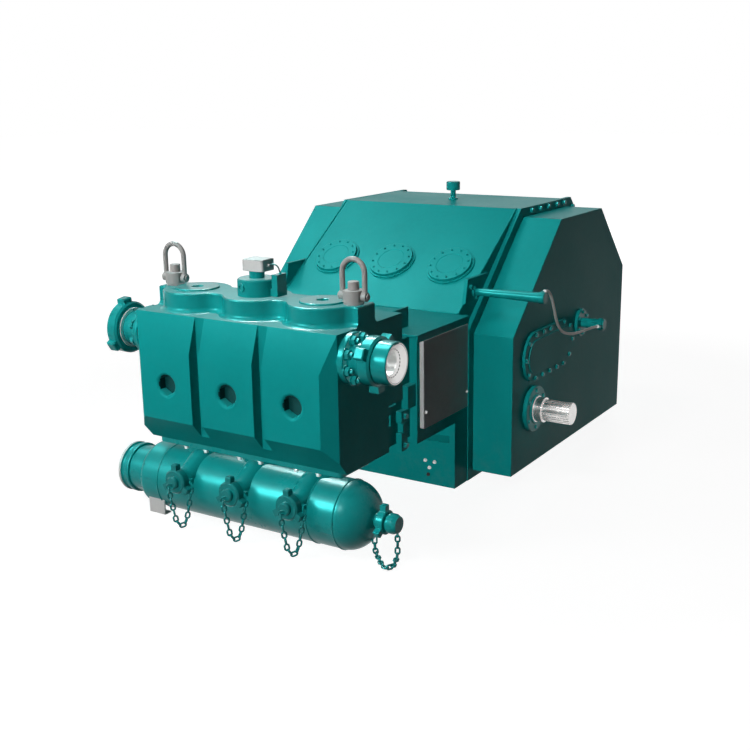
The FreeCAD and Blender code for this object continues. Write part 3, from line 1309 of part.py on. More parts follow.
def chain_between(start_eye, end_eye, path_of):
    """Even number of links between two eyes: every other one is turned a quarter.

    The eye at the start and the odd links stand upright in the plane of the chain. At each
    station the crossing link's wire lies on the middle line of the one that bends in its plane.
    """
    start, start_way, face = start_eye
    end, end_way, _ = end_eye
    guess = path_of(start, end)
    fall = guess.Edges[0].tangentAt(guess.Edges[0].FirstParameter)
    climb = guess.Edges[-1].tangentAt(guess.Edges[-1].LastParameter)
    start = start - start_way * wire_room(start_way.getAngle(fall))
    end = end + climb * wire_room(climb.getAngle(-end_way))
    path = path_of(start, end)
    count = 2 * round(path.Length / CHAIN_PITCH / 2)
    stations = path.discretize(Number=count + 1)
    ways = [(stations[i + 1] - stations[i]).normalize() for i in range(count)]
    ways = [start_way] + ways + [-end_way]
    upright = [face]
    for before, after in zip(ways[:-1], ways[1:]):
        axis = before.cross(after)
        if axis.Length > 1e-6:
            turn = FreeCAD.Rotation(axis, math.degrees(before.getAngle(after)))
            upright.append(turn.multVec(upright[-1]))
        else:
            upright.append(upright[-1])
    heels = []
    tips = []
    for i, station in enumerate(stations):
        before, after = ways[i], ways[i + 1]
        axis = before.cross(after)
        in_plane = axis.Length < 1e-6 or abs(axis.normalize().dot(upright[i])) > 0.5
        odd_way = after if i % 2 else before
        even_way = before if i % 2 else after
        shift = (odd_way if in_plane else even_way) * wire_room(before.getAngle(after))
        heels.append(station - shift)
        tips.append(station + shift)
    links = []
    for i in range(count):
        along = (tips[i + 1] - heels[i]).normalize()
        side = upright[i + 1]
        flat = side - along * side.dot(along)
        flat = flat.normalize() if i % 2 else flat.cross(along).normalize()
        links.append(chain_link(heels[i], tips[i + 1], flat))
    return links


def cap_chains():
    links = chain_between(*end_loop(), floor_path)
    for x in PORT_X:
        links += chain_between(*front_loop(x), hanging_path)
    return Part.makeCompound(links)


def export(name, shape):
    placed = shape.copy()
    placed.translate(V(0, -BASE_MID_Y, 0))
    placed.exportStep("parts/" + name + ".step")


def build():
    os.makedirs("parts", exist_ok=True)
    pieces = {
        "power_frame": power_frame(),
        "gear_case_right": gear_case(),
        "oval_cover_right": oval_cover(),
        "pinion_cover_right": pinion_cover(True),
        "pinion_cover_left": mirror_x(pinion_cover(False)),
        "pinion_shaft": pinion_shaft(),
        "lube_flange": lube_flange(),
        "lube_canister": lube_canister(),
        "lube_hose": lube_hose(),
        "breather": breather(),
        "lug_plate_right": lug_plate(),
        "top_cover": top_cover(),
        "side_door_right": side_door(),
        "stay_block": stay_block(),
        "fluid_end_block": fluid_end_block(),
        "gauge_adaptor": gauge_adaptor(),
        "pressure_sensor": pressure_sensor(),
        "sensor_cable": sensor_cable(),
        "discharge_flange_right": discharge_flange_right(),
        "discharge_wing_right": discharge_wing_right(),
        "discharge_flange_left": mirror_x(discharge_flange_left()),
        "discharge_wing_left": mirror_x(discharge_wing_left()),
        "manifold_pipe": manifold_pipe(),
        "manifold_dome": manifold_dome(),
        "manifold_flange": manifold_flange(),
        "suction_coupling": suction_coupling(),
        "end_cap": end_cap(),
        "cap_chains": cap_chains(),
    }
    for name in ("gear_case", "oval_cover", "lug_plate", "side_door"):
        pieces[name + "_left"] = mirror_x(pieces[name + "_right"])
    for number, x in enumerate(cylinder_places(), 1):
        pieces["inspection_cover_" + str(number)] = inspection_cover(x)
    for number, x in enumerate(PORT_X, 1):
        pieces["port_stub_" + str(number)] = port_stub(x)
        pieces["port_cap_" + str(number)] = port_cap(x)
    for side, sign in (("left", -1), ("right", 1)):
        pieces["valve_cover_" + side] = valve_cover(sign * CYLINDER_PITCH)
        pieces["hoist_bolt_" + side] = hoist_bolt(sign * HOIST_X)
        pieces["hoist_swivel_" + side] = hoist_swivel(sign * HOIST_X)
        pieces["hoist_bail_" + side] = hoist_bail(sign * HOIST_X)
    for name, shape in pieces.items():
        export(name, shape)
        print(name, shape.isValid(), len(shape.Solids), round(shape.Volume / 1e6, 3))


build()
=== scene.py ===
import json
import math
import bmesh
import bpy
from mathutils import Matrix, Vector

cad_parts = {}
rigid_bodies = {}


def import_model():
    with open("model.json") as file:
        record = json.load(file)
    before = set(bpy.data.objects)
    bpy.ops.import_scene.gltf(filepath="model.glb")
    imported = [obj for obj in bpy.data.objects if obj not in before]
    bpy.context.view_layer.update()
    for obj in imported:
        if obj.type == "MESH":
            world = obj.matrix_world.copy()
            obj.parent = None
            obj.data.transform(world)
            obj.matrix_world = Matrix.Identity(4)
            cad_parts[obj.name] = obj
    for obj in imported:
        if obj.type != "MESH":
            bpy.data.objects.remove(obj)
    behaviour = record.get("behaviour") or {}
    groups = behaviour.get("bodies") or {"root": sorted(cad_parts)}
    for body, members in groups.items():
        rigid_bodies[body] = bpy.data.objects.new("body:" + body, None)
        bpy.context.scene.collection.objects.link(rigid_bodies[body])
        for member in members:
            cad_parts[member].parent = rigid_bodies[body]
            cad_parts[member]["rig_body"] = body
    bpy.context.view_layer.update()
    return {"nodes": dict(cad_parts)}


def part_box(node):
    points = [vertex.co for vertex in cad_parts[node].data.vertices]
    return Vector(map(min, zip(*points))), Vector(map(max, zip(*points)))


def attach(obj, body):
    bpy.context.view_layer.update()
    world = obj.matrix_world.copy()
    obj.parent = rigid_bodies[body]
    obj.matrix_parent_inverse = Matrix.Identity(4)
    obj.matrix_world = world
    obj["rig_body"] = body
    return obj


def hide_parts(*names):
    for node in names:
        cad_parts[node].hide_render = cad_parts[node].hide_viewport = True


bl_info = {
    "name": "Triplex fracturing pump",
    "version": (1, 0, 0),
    "blender": (4, 5, 0),
    "location": "View3D > Sidebar > Pump",
    "description": "Dresses the pump's solids with fasteners, welds, hoses and paint",
    "category": "Object",
}

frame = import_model()

# The drawing measures y from the fluid end's face; the frame's origin is the middle of the base.
BASE_MID_Y = 1660.5
CYLINDERS = (-305.0, 0.0, 305.0)
PORTS = (-265.0, 12.0, 288.0)
UNION_Y, UNION_Z = 137.0, 764.0
MANIFOLD_Y, MANIFOLD_Z = 168.0, 140.0
PINION_Y, PINION_Z = 1297.0, 302.0
VALVE_Y = 218.0
SHARP_ANGLE = math.radians(32.0)
SOCKET_Z = 585.0
FLANGE_X = 486.8
SIDES = (("left", -1.0), ("right", 1.0))
X, Y, Z = Vector((1, 0, 0)), Vector((0, 1, 0)), Vector((0, 0, 1))


def at(x, y, z):
    """A place on the drawing, in millimetres, as metres in the frame"""
    return Vector((x, y - BASE_MID_Y, z)) / 1000.0


# Selecting and shaping


def edit():
    bpy.ops.object.mode_set(mode="EDIT")


def done():
    bpy.ops.object.mode_set(mode="OBJECT")


def clear_selection():
    if bpy.context.object and bpy.context.object.mode != "OBJECT":
        done()
    bpy.ops.object.select_all(action="DESELECT")


def add_object(name, data):
    obj = bpy.data.objects.new(name, data)
    bpy.context.scene.collection.objects.link(obj)
    return obj


def hold(obj):
    """Only this object is selected and active"""
    clear_selection()
    bpy.context.view_layer.objects.active = obj
    obj.select_set(True)


def choose_all():
    bpy.ops.mesh.select_all(action="SELECT")


def choose(kind, test):
    """In edit mode, select the corners, edges or faces that pass the test, and say whether any did"""
    mesh = bpy.context.object.data
    bpy.ops.mesh.select_all(action="DESELECT")
    bpy.ops.mesh.select_mode(type=kind)
    shape = bmesh.from_edit_mesh(mesh)
    parts = {"VERT": shape.verts, "EDGE": shape.edges, "FACE": shape.faces}[kind]
    for part in parts:
        part.select = bool(test(part))
    if kind == "VERT":
        shape.select_flush_mode()
    bmesh.update_edit_mesh(mesh)
    return any(part.select for part in parts)


def choose_faces(test):
    """The test is given each face's middle and normal"""
    choose("FACE", lambda face: test(face.calc_center_median(), face.normal))


def choose_corners(test):
    choose("VERT", lambda corner: test(corner.co))


def middle_of(edge):
    return (edge.verts[0].co + edge.verts[1].co) / 2


def round_edges(width, segments=2, least=0.0, keep=None):
    """In edit mode, round the sharp edges, but not the short ones and those that the test keeps"""
    if choose("EDGE", lambda edge: (
            len(edge.link_faces) == 2 and edge.calc_face_angle(0.0) > SHARP_ANGLE
            and edge.calc_length() > least and not (keep and keep(middle_of(edge))))):
        bpy.ops.mesh.bevel(offset=width, segments=segments, affect="EDGES", clamp_overlap=True)


def face_outward():
    choose_all()
    bpy.ops.mesh.normals_make_consistent(inside=False)


def settle(obj):
    hold(obj)
    bpy.ops.object.transform_apply(location=True, rotation=True, scale=True)


def add_shape(operator, **options):
    """Primitive from its operator, with its place, turn and size in its mesh"""
    clear_selection()
    operator(**options)
    settle(bpy.context.object)
    return bpy.context.object


def finish_piece(obj, name, finish, body="pump", angle=36.0):
    """Name, finish and body of a new piece; it is shaded smooth up to the angle, flat faces flat"""
    settle(obj)
    obj.name = name
    obj.data.name = name
    obj.data.materials.clear()
    obj.data.materials.append(finish_of(finish))
    bpy.ops.object.shade_smooth_by_angle(angle=math.radians(angle))
    weighted = obj.modifiers.new("flat faces", "WEIGHTED_NORMAL")
    weighted.keep_sharp = True
    bpy.ops.object.modifier_apply(modifier=weighted.name)
    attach(obj, body)
    return obj


def join(pieces):
    clear_selection()
    for piece in pieces:
        piece.select_set(True)
    bpy.context.view_layer.objects.active = pieces[0]
    if len(pieces) > 1:
        bpy.ops.object.join()
    return pieces[0]


def merged_copy(node, name):
    """Copy of a solid with its loose triangles merged to whole faces"""
    copy = add_object(name, frame["nodes"][node].data.copy())
    hold(copy)
    edit()
    choose_all()
    bpy.ops.mesh.remove_doubles(threshold=1e-5)
    bpy.ops.mesh.dissolve_limited(angle_limit=math.radians(0.5))
    done()
    return copy


def dress(node, finish, width, segments=2, least=0.0, keep=None, first=None):
    """Merged copy of a solid with rounded edges, which takes the solid's place"""
    copy = merged_copy(node, node + "_dressed")
    edit()
    if first:
        first()
    round_edges(width, segments, least, keep)
    done()
    finish_piece(copy, node + "_dressed", finish, frame["nodes"][node]["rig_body"])
    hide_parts(node)
    return copy


def finish_faces(obj, finish, test):
    """Second finish on the faces whose middle and normal pass the test"""
    obj.data.materials.append(finish_of(finish))
    number = len(obj.data.materials) - 1
    hold(obj)
    edit()
    choose_faces(test)
    obj.active_material_index = number
    bpy.ops.object.material_slot_assign()
    done()


def draw_out(sections, sides, turn=(0, 0, 0)):
    """Round shape from a disc that is drawn out section by section, each a middle and a radius"""
    clear_selection()
    middle, radius = sections[0]
    bpy.ops.mesh.primitive_circle_add(vertices=sides, radius=radius, fill_type="NGON", location=middle,
                                      rotation=turn)
    obj = bpy.context.object
    edit()
    choose_all()
    for next_middle, next_radius in sections[1:]:
        bpy.ops.mesh.extrude_region_move()
        bpy.ops.transform.translate(value=next_middle - middle)
        bpy.ops.transform.resize(value=(next_radius / radius,) * 3, center_override=next_middle)
        middle, radius = next_middle, next_radius
    face_outward()
    done()
    settle(obj)
    return obj


def turned(steps, sides):
    """Turned shape about Z from steps that are each a distance along and a radius"""
    return draw_out([(Z * along, radius) for along, radius in steps], sides)


def lie(place, way, spin=0.0):
    """Matrix that turns a shape's Z to a direction and brings it to its place"""
    turn = Vector(way).to_track_quat("Z", "Y").to_matrix().to_4x4()
    return Matrix.Translation(place) @ turn @ Matrix.Rotation(spin, 4, "Z")


def placed(obj, place, way):
    """Bring a shape to its place and direction, all in its mesh"""
    settle(obj)
    obj.data.transform(lie(place, way))
    return obj


def spread(seed, name, places, finish):
    """Copies of a small shape on the pump, each with its own mesh, joined to one piece"""
    copies = []
    for place, way, spin in places:
        copy = add_object(name, seed.data.copy())
        copy.data.transform(lie(place, way, spin))
        copies.append(copy)
    discard(seed)
    return finish_piece(join(copies), name, finish)


def around(count, radius, first):
    """Evenly spaced places on a circle; the first is at an angle in degrees"""
    for step in range(count):
        angle = math.radians(first + 360.0 / count * step)
        yield radius * math.cos(angle), radius * math.sin(angle)


def discard(*shapes):
    clear_selection()
    for shape in shapes:
        shape.select_set(True)
    bpy.ops.object.delete()


def hex_head(radius, height):
    """Hexagon head with a chamfered top on a thin washer"""
    washer, rest = 1.22, height * 0.16
    head = add_shape(bpy.ops.mesh.primitive_cylinder_add, vertices=6, radius=radius, depth=height - rest,
                     location=(0, 0, rest + (height - rest) / 2))
    edit()
    choose_faces(lambda middle, normal: normal.z > 0.9)
    bpy.ops.mesh.inset(thickness=radius * 0.1, depth=radius * 0.07)
    done()
    disc = turned([(0, radius * washer), (rest * 0.7, radius * washer), (rest, radius * (washer - 0.05))], 20)
    return join([head, disc])


def stud_and_nut(radius, height, stud_radius, stud_reach):
    """Hexagon nut on a washer, with the chamfered end of its stud"""
    nut = hex_head(radius, height)
    stud = turned([(height * 0.6, stud_radius), (height + stud_reach - stud_radius * 0.2, stud_radius),
                   (height + stud_reach, stud_radius * 0.78)], 16)
    return join([nut, stud])


def socket_screw(radius, height):
    """Cylinder head with a hexagon socket"""
    head = add_shape(bpy.ops.mesh.primitive_cylinder_add, vertices=24, radius=radius, depth=height,
                     location=(0, 0, height / 2))
    edit()
    choose_faces(lambda middle, normal: normal.z > 0.9)
    bpy.ops.mesh.inset(thickness=radius * 0.1, depth=radius * 0.08)
    bpy.ops.mesh.inset(thickness=radius * 0.4, depth=0)
    bpy.ops.mesh.inset(thickness=radius * 0.02, depth=-height * 0.55)
    done()
    return head


def bead_ring(radius, wire, ripples):
    """Round weld bead about Z: a ring whose every second section is a little thinner"""
    ring = add_shape(bpy.ops.mesh.primitive_torus_add, major_segments=ripples * 2, minor_segments=8,
                     major_radius=radius, minor_radius=wire)
    edit()
    step = math.pi / ripples
    choose_corners(lambda place: round(math.atan2(place.y, place.x) / step) % 2 == 0)
    bpy.ops.transform.shrink_fatten(value=-wire * 0.22)
    done()
    return ring


def weld_line(start, end, wire=0.0035, pitch=0.008):
    """Straight weld bead: one short ripple along X, repeated to the length and brought to its place"""
    run = add_shape(bpy.ops.mesh.primitive_cylinder_add, vertices=8, radius=wire, depth=pitch,
                    end_fill_type="NOTHING", rotation=(0, math.pi / 2, 0), location=(pitch / 2, 0, 0))
    edit()
    choose_all()
    bpy.ops.mesh.subdivide(number_cuts=1)
    choose_corners(lambda place: abs(place.x - pitch / 2) < pitch * 0.1)
    bpy.ops.transform.resize(value=(1, 1.22, 1.22), center_override=(pitch / 2, 0, 0))
    done()
    way = end - start
    count = max(2, round(way.length / pitch))
    repeat = run.modifiers.new("repeat", "ARRAY")
    repeat.count = count
    repeat.use_merge_vertices = True
    repeat.merge_threshold = 0.0003
    bpy.ops.object.modifier_apply(modifier=repeat.name)
    edit()
    choose_all()
    bpy.ops.mesh.fill_holes(sides=0)
    face_outward()
    done()
    run.scale = (way.length / (count * pitch), 1, 1)
    settle(run)
    turn = way.normalized().to_track_quat("X", "Z").to_matrix().to_4x4()
    run.data.transform(Matrix.Translation(start) @ turn)
    return run


# Finishes


def linear(shade):
    return tuple(shade) + (1.0,)


def make_group(name, inputs, outputs):
    tree = bpy.data.node_groups.new(name, "ShaderNodeTree")
    for label, kind, value in inputs:
        socket = tree.interface.new_socket(label, in_out="INPUT", socket_type=kind)
        socket.default_value = value
    for label, kind in outputs:
        tree.interface.new_socket(label, in_out="OUTPUT", socket_type=kind)
    return tree, tree.nodes.new("NodeGroupInput"), tree.nodes.new("NodeGroupOutput")


def feed(tree, node, **inputs):
    """Set a node's inputs or link them; an underscore in a label stands for a space"""
    for label, value in inputs.items():
        feed_socket(tree, node.inputs[label.replace("_", " ")], value)
    return node


def feed_socket(tree, socket, value):
    if isinstance(value, bpy.types.NodeSocket):
        tree.links.new(value, socket)
    else:
        socket.default_value = value


def add_node(tree, kind, **inputs):
    return feed(tree, tree.nodes.new("ShaderNode" + kind), **inputs)


def add_noise(tree, place, scale, detail, roughness=0.55):
    return add_node(tree, "TexNoise", Detail=detail, Roughness=roughness, Scale=scale,
                    Vector=place).outputs["Fac"]


def add_range(tree, value, low, high, to_low, to_high):
    return add_node(tree, "MapRange", From_Min=low, From_Max=high, To_Min=to_low, To_Max=to_high,
                    Value=value).outputs["Result"]


def add_math(tree, operation, *values):
    node = add_node(tree, "Math")
    node.operation = operation
    for socket, value in zip(node.inputs, values):
        feed_socket(tree, socket, value)
    return node.outputs["Value"]


def add_mix(tree, factor, first, second, blend="MIX"):
    node = add_node(tree, "Mix")
    node.data_type = "RGBA"
    node.blend_type = blend
    sockets = {"Factor": factor, "A": first, "B": second}
    for socket in node.inputs:
        if socket.enabled and socket.name in sockets:
            feed_socket(tree, socket, sockets[socket.name])
    return next(out for out in node.outputs if out.enabled)


def show_to_rays(tree, unseen, seen, output):
    """What the camera sees, also in reflections, differs from what lights the pump"""
    path = add_node(tree, "LightPath").outputs
    mix = add_node(tree, "MixShader")
    tree.links.new(add_math(tree, "MAXIMUM", path["Is Camera Ray"], add_math(
        tree, "MAXIMUM", path["Is Glossy Ray"], path["Is Transmission Ray"])), mix.inputs["Fac"])
    tree.links.new(unseen, mix.inputs[1])
    tree.links.new(seen, mix.inputs[2])
    tree.links.new(mix.outputs["Shader"], tree.nodes[output].inputs["Surface"])


def tone_group():
    """Uneven tone of a sprayed or cast surface, with faint dust low down"""
    tree, entry, leave = make_group("surface tone", [
        ("Color", "NodeSocketColor", (0.5, 0.5, 0.5, 1)),
        ("Dust Color", "NodeSocketColor", (0.3, 0.3, 0.28, 1)),
        ("Tone Amount", "NodeSocketFloat", 0.12),
        ("Patch Scale", "NodeSocketFloat", 3.0),
        ("Dust Amount", "NodeSocketFloat", 0.1),
    ], [("Color", "NodeSocketColor"), ("Mask", "NodeSocketFloat")])
    place = add_node(tree, "TexCoord").outputs["Object"]
    broad = add_noise(tree, place, entry.outputs["Patch Scale"], 2.0)
    fine = add_noise(tree, place, 46.0, 4.0)
    both = add_math(tree, "ADD", add_math(tree, "MULTIPLY", broad, 0.7),
                    add_math(tree, "MULTIPLY", fine, 0.3))
    darkest = add_math(tree, "SUBTRACT", 1.0, entry.outputs["Tone Amount"])
    lightest = add_math(tree, "ADD", 1.0, entry.outputs["Tone Amount"])
    shade = add_range(tree, both, 0.3, 0.7, darkest, lightest)
    grey = add_node(tree, "CombineColor", Red=shade, Green=shade, Blue=shade)
    toned = add_mix(tree, 1.0, entry.outputs["Color"], grey.outputs["Color"], "MULTIPLY")
    height = add_node(tree, "SeparateXYZ", Vector=place)
    low = add_range(tree, height.outputs["Z"], 0.0, 0.32, 1.0, 0.12)
    speck = add_range(tree, add_noise(tree, place, 17.0, 6.0, 0.7), 0.5, 0.78, 0.0, 1.0)
    mask = add_math(tree, "MULTIPLY", add_math(tree, "MULTIPLY", low, speck), entry.outputs["Dust Amount"])
    dusty = add_mix(tree, mask, toned, entry.outputs["Dust Color"])
    feed(tree, leave, Color=dusty, Mask=both)


def relief_group():
    """Height of a sprayed coat: soft waves with a finer grain"""
    tree, entry, leave = make_group("sprayed relief", [
        ("Wave Scale", "NodeSocketFloat", 60.0), ("Grain Scale", "NodeSocketFloat", 420.0),
        ("Grain Share", "NodeSocketFloat", 0.35),
    ], [("Height", "NodeSocketFloat")])
    place = add_node(tree, "TexCoord").outputs["Object"]
    wave = add_noise(tree, place, entry.outputs["Wave Scale"], 1.0)
    grain = add_noise(tree, place, entry.outputs["Grain Scale"], 2.0)
    height = add_math(tree, "ADD", wave, add_math(tree, "MULTIPLY", grain, entry.outputs["Grain Share"]))
    feed(tree, leave, Height=height)


def lathe_group():
    """Fine turning marks about an axis along X through a given place"""
    tree, entry, leave = make_group("turning marks", [
        ("Centre Y", "NodeSocketFloat", 0.0), ("Centre Z", "NodeSocketFloat", 0.0),
        ("Mark Scale", "NodeSocketFloat", 300.0),
    ], [("Height", "NodeSocketFloat")])
    place = add_node(tree, "TexCoord").outputs["Object"]
    parts = add_node(tree, "SeparateXYZ", Vector=place)
    y = add_math(tree, "SUBTRACT", parts.outputs["Y"], entry.outputs["Centre Y"])
    z = add_math(tree, "SUBTRACT", parts.outputs["Z"], entry.outputs["Centre Z"])
    radius = add_math(tree, "SQRT", add_math(tree, "ADD", add_math(tree, "MULTIPLY", y, y),
                                             add_math(tree, "MULTIPLY", z, z)))
    marks = add_node(tree, "CombineXYZ", X=parts.outputs["X"], Y=radius)
    height = add_noise(tree, marks.outputs["Vector"], entry.outputs["Mark Scale"], 2.0)
    feed(tree, leave, Height=height)


def use_group(tree, group, **values):
    node = add_node(tree, "Group")
    node.node_tree = bpy.data.node_groups[group]
    return feed(tree, node, **values)


def new_finish(name, shade, roughness, vary=0.08, metallic=0.0, tone=0.1, patch=3.0, dust=0.1, wave=60.0,
               grain=420.0, relief=0.25, depth=0.0003, specular=0.5, tint=(1.0, 1.0, 1.0), marks=None):
    """Finish whose colour, gloss and relief vary over the surface; constants sit on the shader"""
    material = bpy.data.materials.new(name)
    material.use_nodes = True
    tree = material.node_tree
    surface = use_group(tree, "surface tone", Color=linear(shade), Dust_Color=linear((0.3, 0.3, 0.27)),
                        Tone_Amount=tone, Patch_Scale=patch, Dust_Amount=dust)
    rough = add_range(tree, surface.outputs["Mask"], 0.3, 0.7, roughness + vary, roughness - vary)
    if marks:
        height = use_group(tree, "turning marks", Centre_Y=marks[0], Centre_Z=marks[1], Mark_Scale=marks[2])
    else:
        height = use_group(tree, "sprayed relief", Wave_Scale=wave, Grain_Scale=grain)
    bump = add_node(tree, "Bump", Strength=relief, Distance=depth, Height=height.outputs["Height"])
    feed(tree, tree.nodes["Principled BSDF"], Metallic=metallic, Specular_IOR_Level=specular,
         Specular_Tint=linear(tint), Base_Color=surface.outputs["Color"], Roughness=rough,
         Normal=bump.outputs["Normal"])
    material.diffuse_color = linear(shade)
    return material


def finish_of(name):
    material = bpy.data.materials.get(name)
    if material is None:
        raise RuntimeError("The finishes are made before " + name + " is used")
    return material


class PaintSettings(bpy.types.PropertyGroup):
    coat_colour: bpy.props.FloatVectorProperty(
        name="Coat colour", description="Main paint of the pump", subtype="COLOR", size=3, min=0.0,
        max=1.0, default=(0.006, 0.36, 0.355))
    coat_roughness: bpy.props.FloatProperty(
        name="Coat roughness", description="Gloss of the main paint", subtype="FACTOR", min=0.0, max=1.0,
        default=0.36)
    ring_colour: bpy.props.FloatVectorProperty(
        name="Hoist ring colour", description="Warm grey of the hoist rings", subtype="COLOR", size=3,
        min=0.0, max=1.0, default=(0.46, 0.435, 0.425))
    door_colour: bpy.props.FloatVectorProperty(
        name="Door colour", description="Pale sheet of the side doors", subtype="COLOR", size=3, min=0.0,
        max=1.0, default=(0.72, 0.72, 0.71))


class FastenerSettings(bpy.types.PropertyGroup):
    cover_bolt: bpy.props.FloatProperty(
        name="Cover bolt radius", description="Half the width over corners of the cover bolts",
        unit="LENGTH", default=0.0095)
    flange_bolt: bpy.props.FloatProperty(
        name="Flange bolt radius", description="Half the width over corners of the flange bolts",
        unit="LENGTH", default=0.011)
    union_nut: bpy.props.FloatProperty(
        name="Union nut radius", description="Half the width over corners of the union's stud nuts",
        unit="LENGTH", default=0.0185)


class LampSettings(bpy.types.PropertyGroup):
    key_power: bpy.props.FloatProperty(
        name="Key lamp", description="Power of the large lamp high in front, watts", unit="POWER",
        default=90.0)
    side_power: bpy.props.FloatProperty(
        name="Side lamp", description="Power of the near lamp at the front left, watts", unit="POWER",
        default=30.0)
    front_power: bpy.props.FloatProperty(
        name="Front lamp", description="Power of the low lamp in front, watts", unit="POWER", default=370.0)
    sheen_power: bpy.props.FloatProperty(
        name="Sheen lamp", description="Power of the lamp that only shows as a sheen, watts", unit="POWER",
        default=850.0)
    chamfer_power: bpy.props.FloatProperty(
        name="Chamfer lamp", description="Power of the sheen on the fluid end's upper chamfers, watts",
        unit="POWER", default=560.0)
    glint_power: bpy.props.FloatProperty(
        name="Glint lamp", description="Power of the small lamp that only shows as a glint, watts",
        unit="POWER", default=6.0)
    back_power: bpy.props.FloatProperty(
        name="Back lamp", description="Power of the lamp behind the pump, watts", unit="POWER", default=230.0)
    fill: bpy.props.FloatProperty(
        name="Fill", description="Strength of the even light all round", subtype="FACTOR", min=0.0, max=1.0,
        default=0.02)


class PUMP_OT_camera(bpy.types.Operator):
    """Camera at the front right corner, a little above the deck"""
    bl_idname = "pump.camera"
    bl_label = "Camera"

    def execute(self, context):
        azimuth, elevation, roll = (math.radians(a) for a in (32.527, 14.868, -0.856))
        right = Vector((math.cos(azimuth), math.sin(azimuth), 0.0))
        up = Vector((-math.sin(azimuth) * math.sin(elevation), math.cos(azimuth) * math.sin(elevation),
                     math.cos(elevation)))
        forward = Vector((-math.sin(azimuth) * math.cos(elevation), math.cos(azimuth) * math.cos(elevation),
                          -math.sin(elevation)))
        across = right * math.cos(roll) + up * math.sin(roll)
        upright = up * math.cos(roll) - right * math.sin(roll)
        turn = Matrix((across, upright, -forward)).transposed()
        clear_selection()
        bpy.ops.object.camera_add(location=(2.6335, -4.7387, 1.7242))
        camera = context.object
        camera.name = "camera"
        camera.rotation_euler = turn.to_euler()
        camera.data.lens = 52.89
        camera.data.sensor_width = 36.0
        camera.data.clip_end = 100.0
        context.scene.camera = camera
        return {"FINISHED"}


class PUMP_OT_finishes(bpy.types.Operator):
    """Paints, metals and rubbers that the pieces use"""
    bl_idname = "pump.finishes"
    bl_label = "Finishes"

    def execute(self, context):
        paint = context.scene.pump_paint
        tone_group()
        relief_group()
        lathe_group()
        coat, sheen = tuple(paint.coat_colour), (0.45, 1.0, 1.0)
        steel = {"tone": 0.06, "patch": 20.0, "dust": 0.0, "relief": 0.2, "depth": 0.0002}
        rubber = {"patch": 20.0, "dust": 0.0, "wave": 300.0, "grain": 1500.0}
        new_finish("teal_coat", coat, paint.coat_roughness, 0.06, tone=0.07, patch=2.4, wave=45.0,
                   grain=380.0, relief=0.2, specular=0.03, tint=sheen)
        new_finish("teal_casting", coat, paint.coat_roughness - 0.14, 0.05, tone=0.09, patch=5.0, wave=120.0,
                   grain=520.0, relief=0.22, specular=0.13, tint=sheen)
        new_finish("teal_fastener", coat, 0.24, tone=0.14, patch=30.0, wave=200.0, grain=800.0, relief=0.3,
                   specular=0.26, tint=sheen)
        # Painted shade: a dark teal at a sixth of the coat's brightness, for the floors and upper walls of
        # the hexagon sockets.
        new_finish("socket_painted_shade", tuple(c * 0.16 for c in coat), 0.5, tone=0.25, patch=40.0, wave=200.0,
                   grain=800.0, relief=0.4, specular=0.15)
        new_finish("teal_gloss", tuple(c * 0.9 for c in coat), 0.29, 0.05, tone=0.09, patch=5.0, wave=120.0,
                   grain=520.0, relief=0.22, specular=0.24, tint=sheen)
        # Painted shade: the port caps and keeper chains take the coat at 0.62 of its brightness.
        new_finish("teal_fitting_painted_shade", tuple(c * 0.62 for c in coat), 0.24, 0.06, tone=0.14, patch=16.0,
                   wave=160.0, grain=700.0, relief=0.3, specular=0.24, tint=sheen)
        new_finish("hoist_grey", paint.ring_colour, 0.42, 0.1, patch=14.0, wave=150.0, grain=700.0,
                   relief=0.4, specular=0.07)
        new_finish("turned_steel", (0.72, 0.71, 0.70), 0.24, 0.07, metallic=1.0,
                   marks=((PINION_Y - BASE_MID_Y) / 1000, PINION_Z / 1000, 900.0), **steel)
        new_finish("seat_steel", (0.80, 0.79, 0.78), 0.33, 0.07, metallic=0.75,
                   marks=((UNION_Y - BASE_MID_Y) / 1000, UNION_Z / 1000, 900.0), **steel)
        new_finish("door_coat", paint.door_colour, 0.45, tone=0.06, patch=4.0, wave=30.0, grain=300.0,
                   relief=0.12, specular=0.015)
        new_finish("sensor_case", (0.80, 0.785, 0.775), 0.4, tone=0.07, patch=12.0, dust=0.0, wave=150.0,
                   grain=900.0, relief=0.3, specular=0.06)
        new_finish("hose_skin", (0.50, 0.52, 0.50), 0.55, 0.1, relief=0.35, **rubber)
        new_finish("cable_skin", (0.012, 0.03, 0.03), 0.5, 0.1, tone=0.15, relief=0.3, **rubber)
        new_finish("gasket", (0.014, 0.016, 0.016), 0.65, 0.1, tone=0.2, patch=25.0, wave=300.0,
                   grain=1200.0, relief=0.4)
        new_finish("pale_gasket", (0.68, 0.69, 0.67), 0.5, 0.1, tone=0.08, patch=25.0, dust=0.05, wave=200.0,
                   grain=1200.0, relief=0.3)
        return {"FINISHED"}


class PUMP_OT_hose(bpy.types.Operator):
    """Oil hose from the canister to the stub on the gear case, with its crimped ends"""
    bl_idname = "pump.hose"
    bl_label = "Oil hose"

    def execute(self, context):
        route = [(792, 1122, 866), (794, 1160, 872), (797, 1196, 846), (801, 1216, 796), (804, 1236, 742),
                 (804, 1267, 695), (802, 1318, 660), (800, 1390, 637), (797, 1472, 622), (795, 1560, 614),
                 (793, 1650, 609), (792, 1714, 604), (792, 1770, 597)]
        hose = soft_line("lube_hose_line", [at(*point) for point in route], 0.012, "hose_skin")
        ends = []
        for point, beyond in ((route[0], route[1]), (route[-1], route[-2])):
            ferrule = turned([(0, 0.0068), (0.002, 0.0078), (0.007, 0.0078), (0.0085, 0.0068),
                              (0.0105, 0.0068), (0.012, 0.0078), (0.017, 0.0078), (0.0185, 0.0066),
                              (0.021, 0.0066)], 20)
            ends.append(placed(ferrule, at(*point), at(*beyond) - at(*point)))
        crimps = finish_piece(join(ends), "hose_crimps", "seat_steel")
        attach(hose, "pump")
        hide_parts("lube_hose")
        return {"FINISHED"}


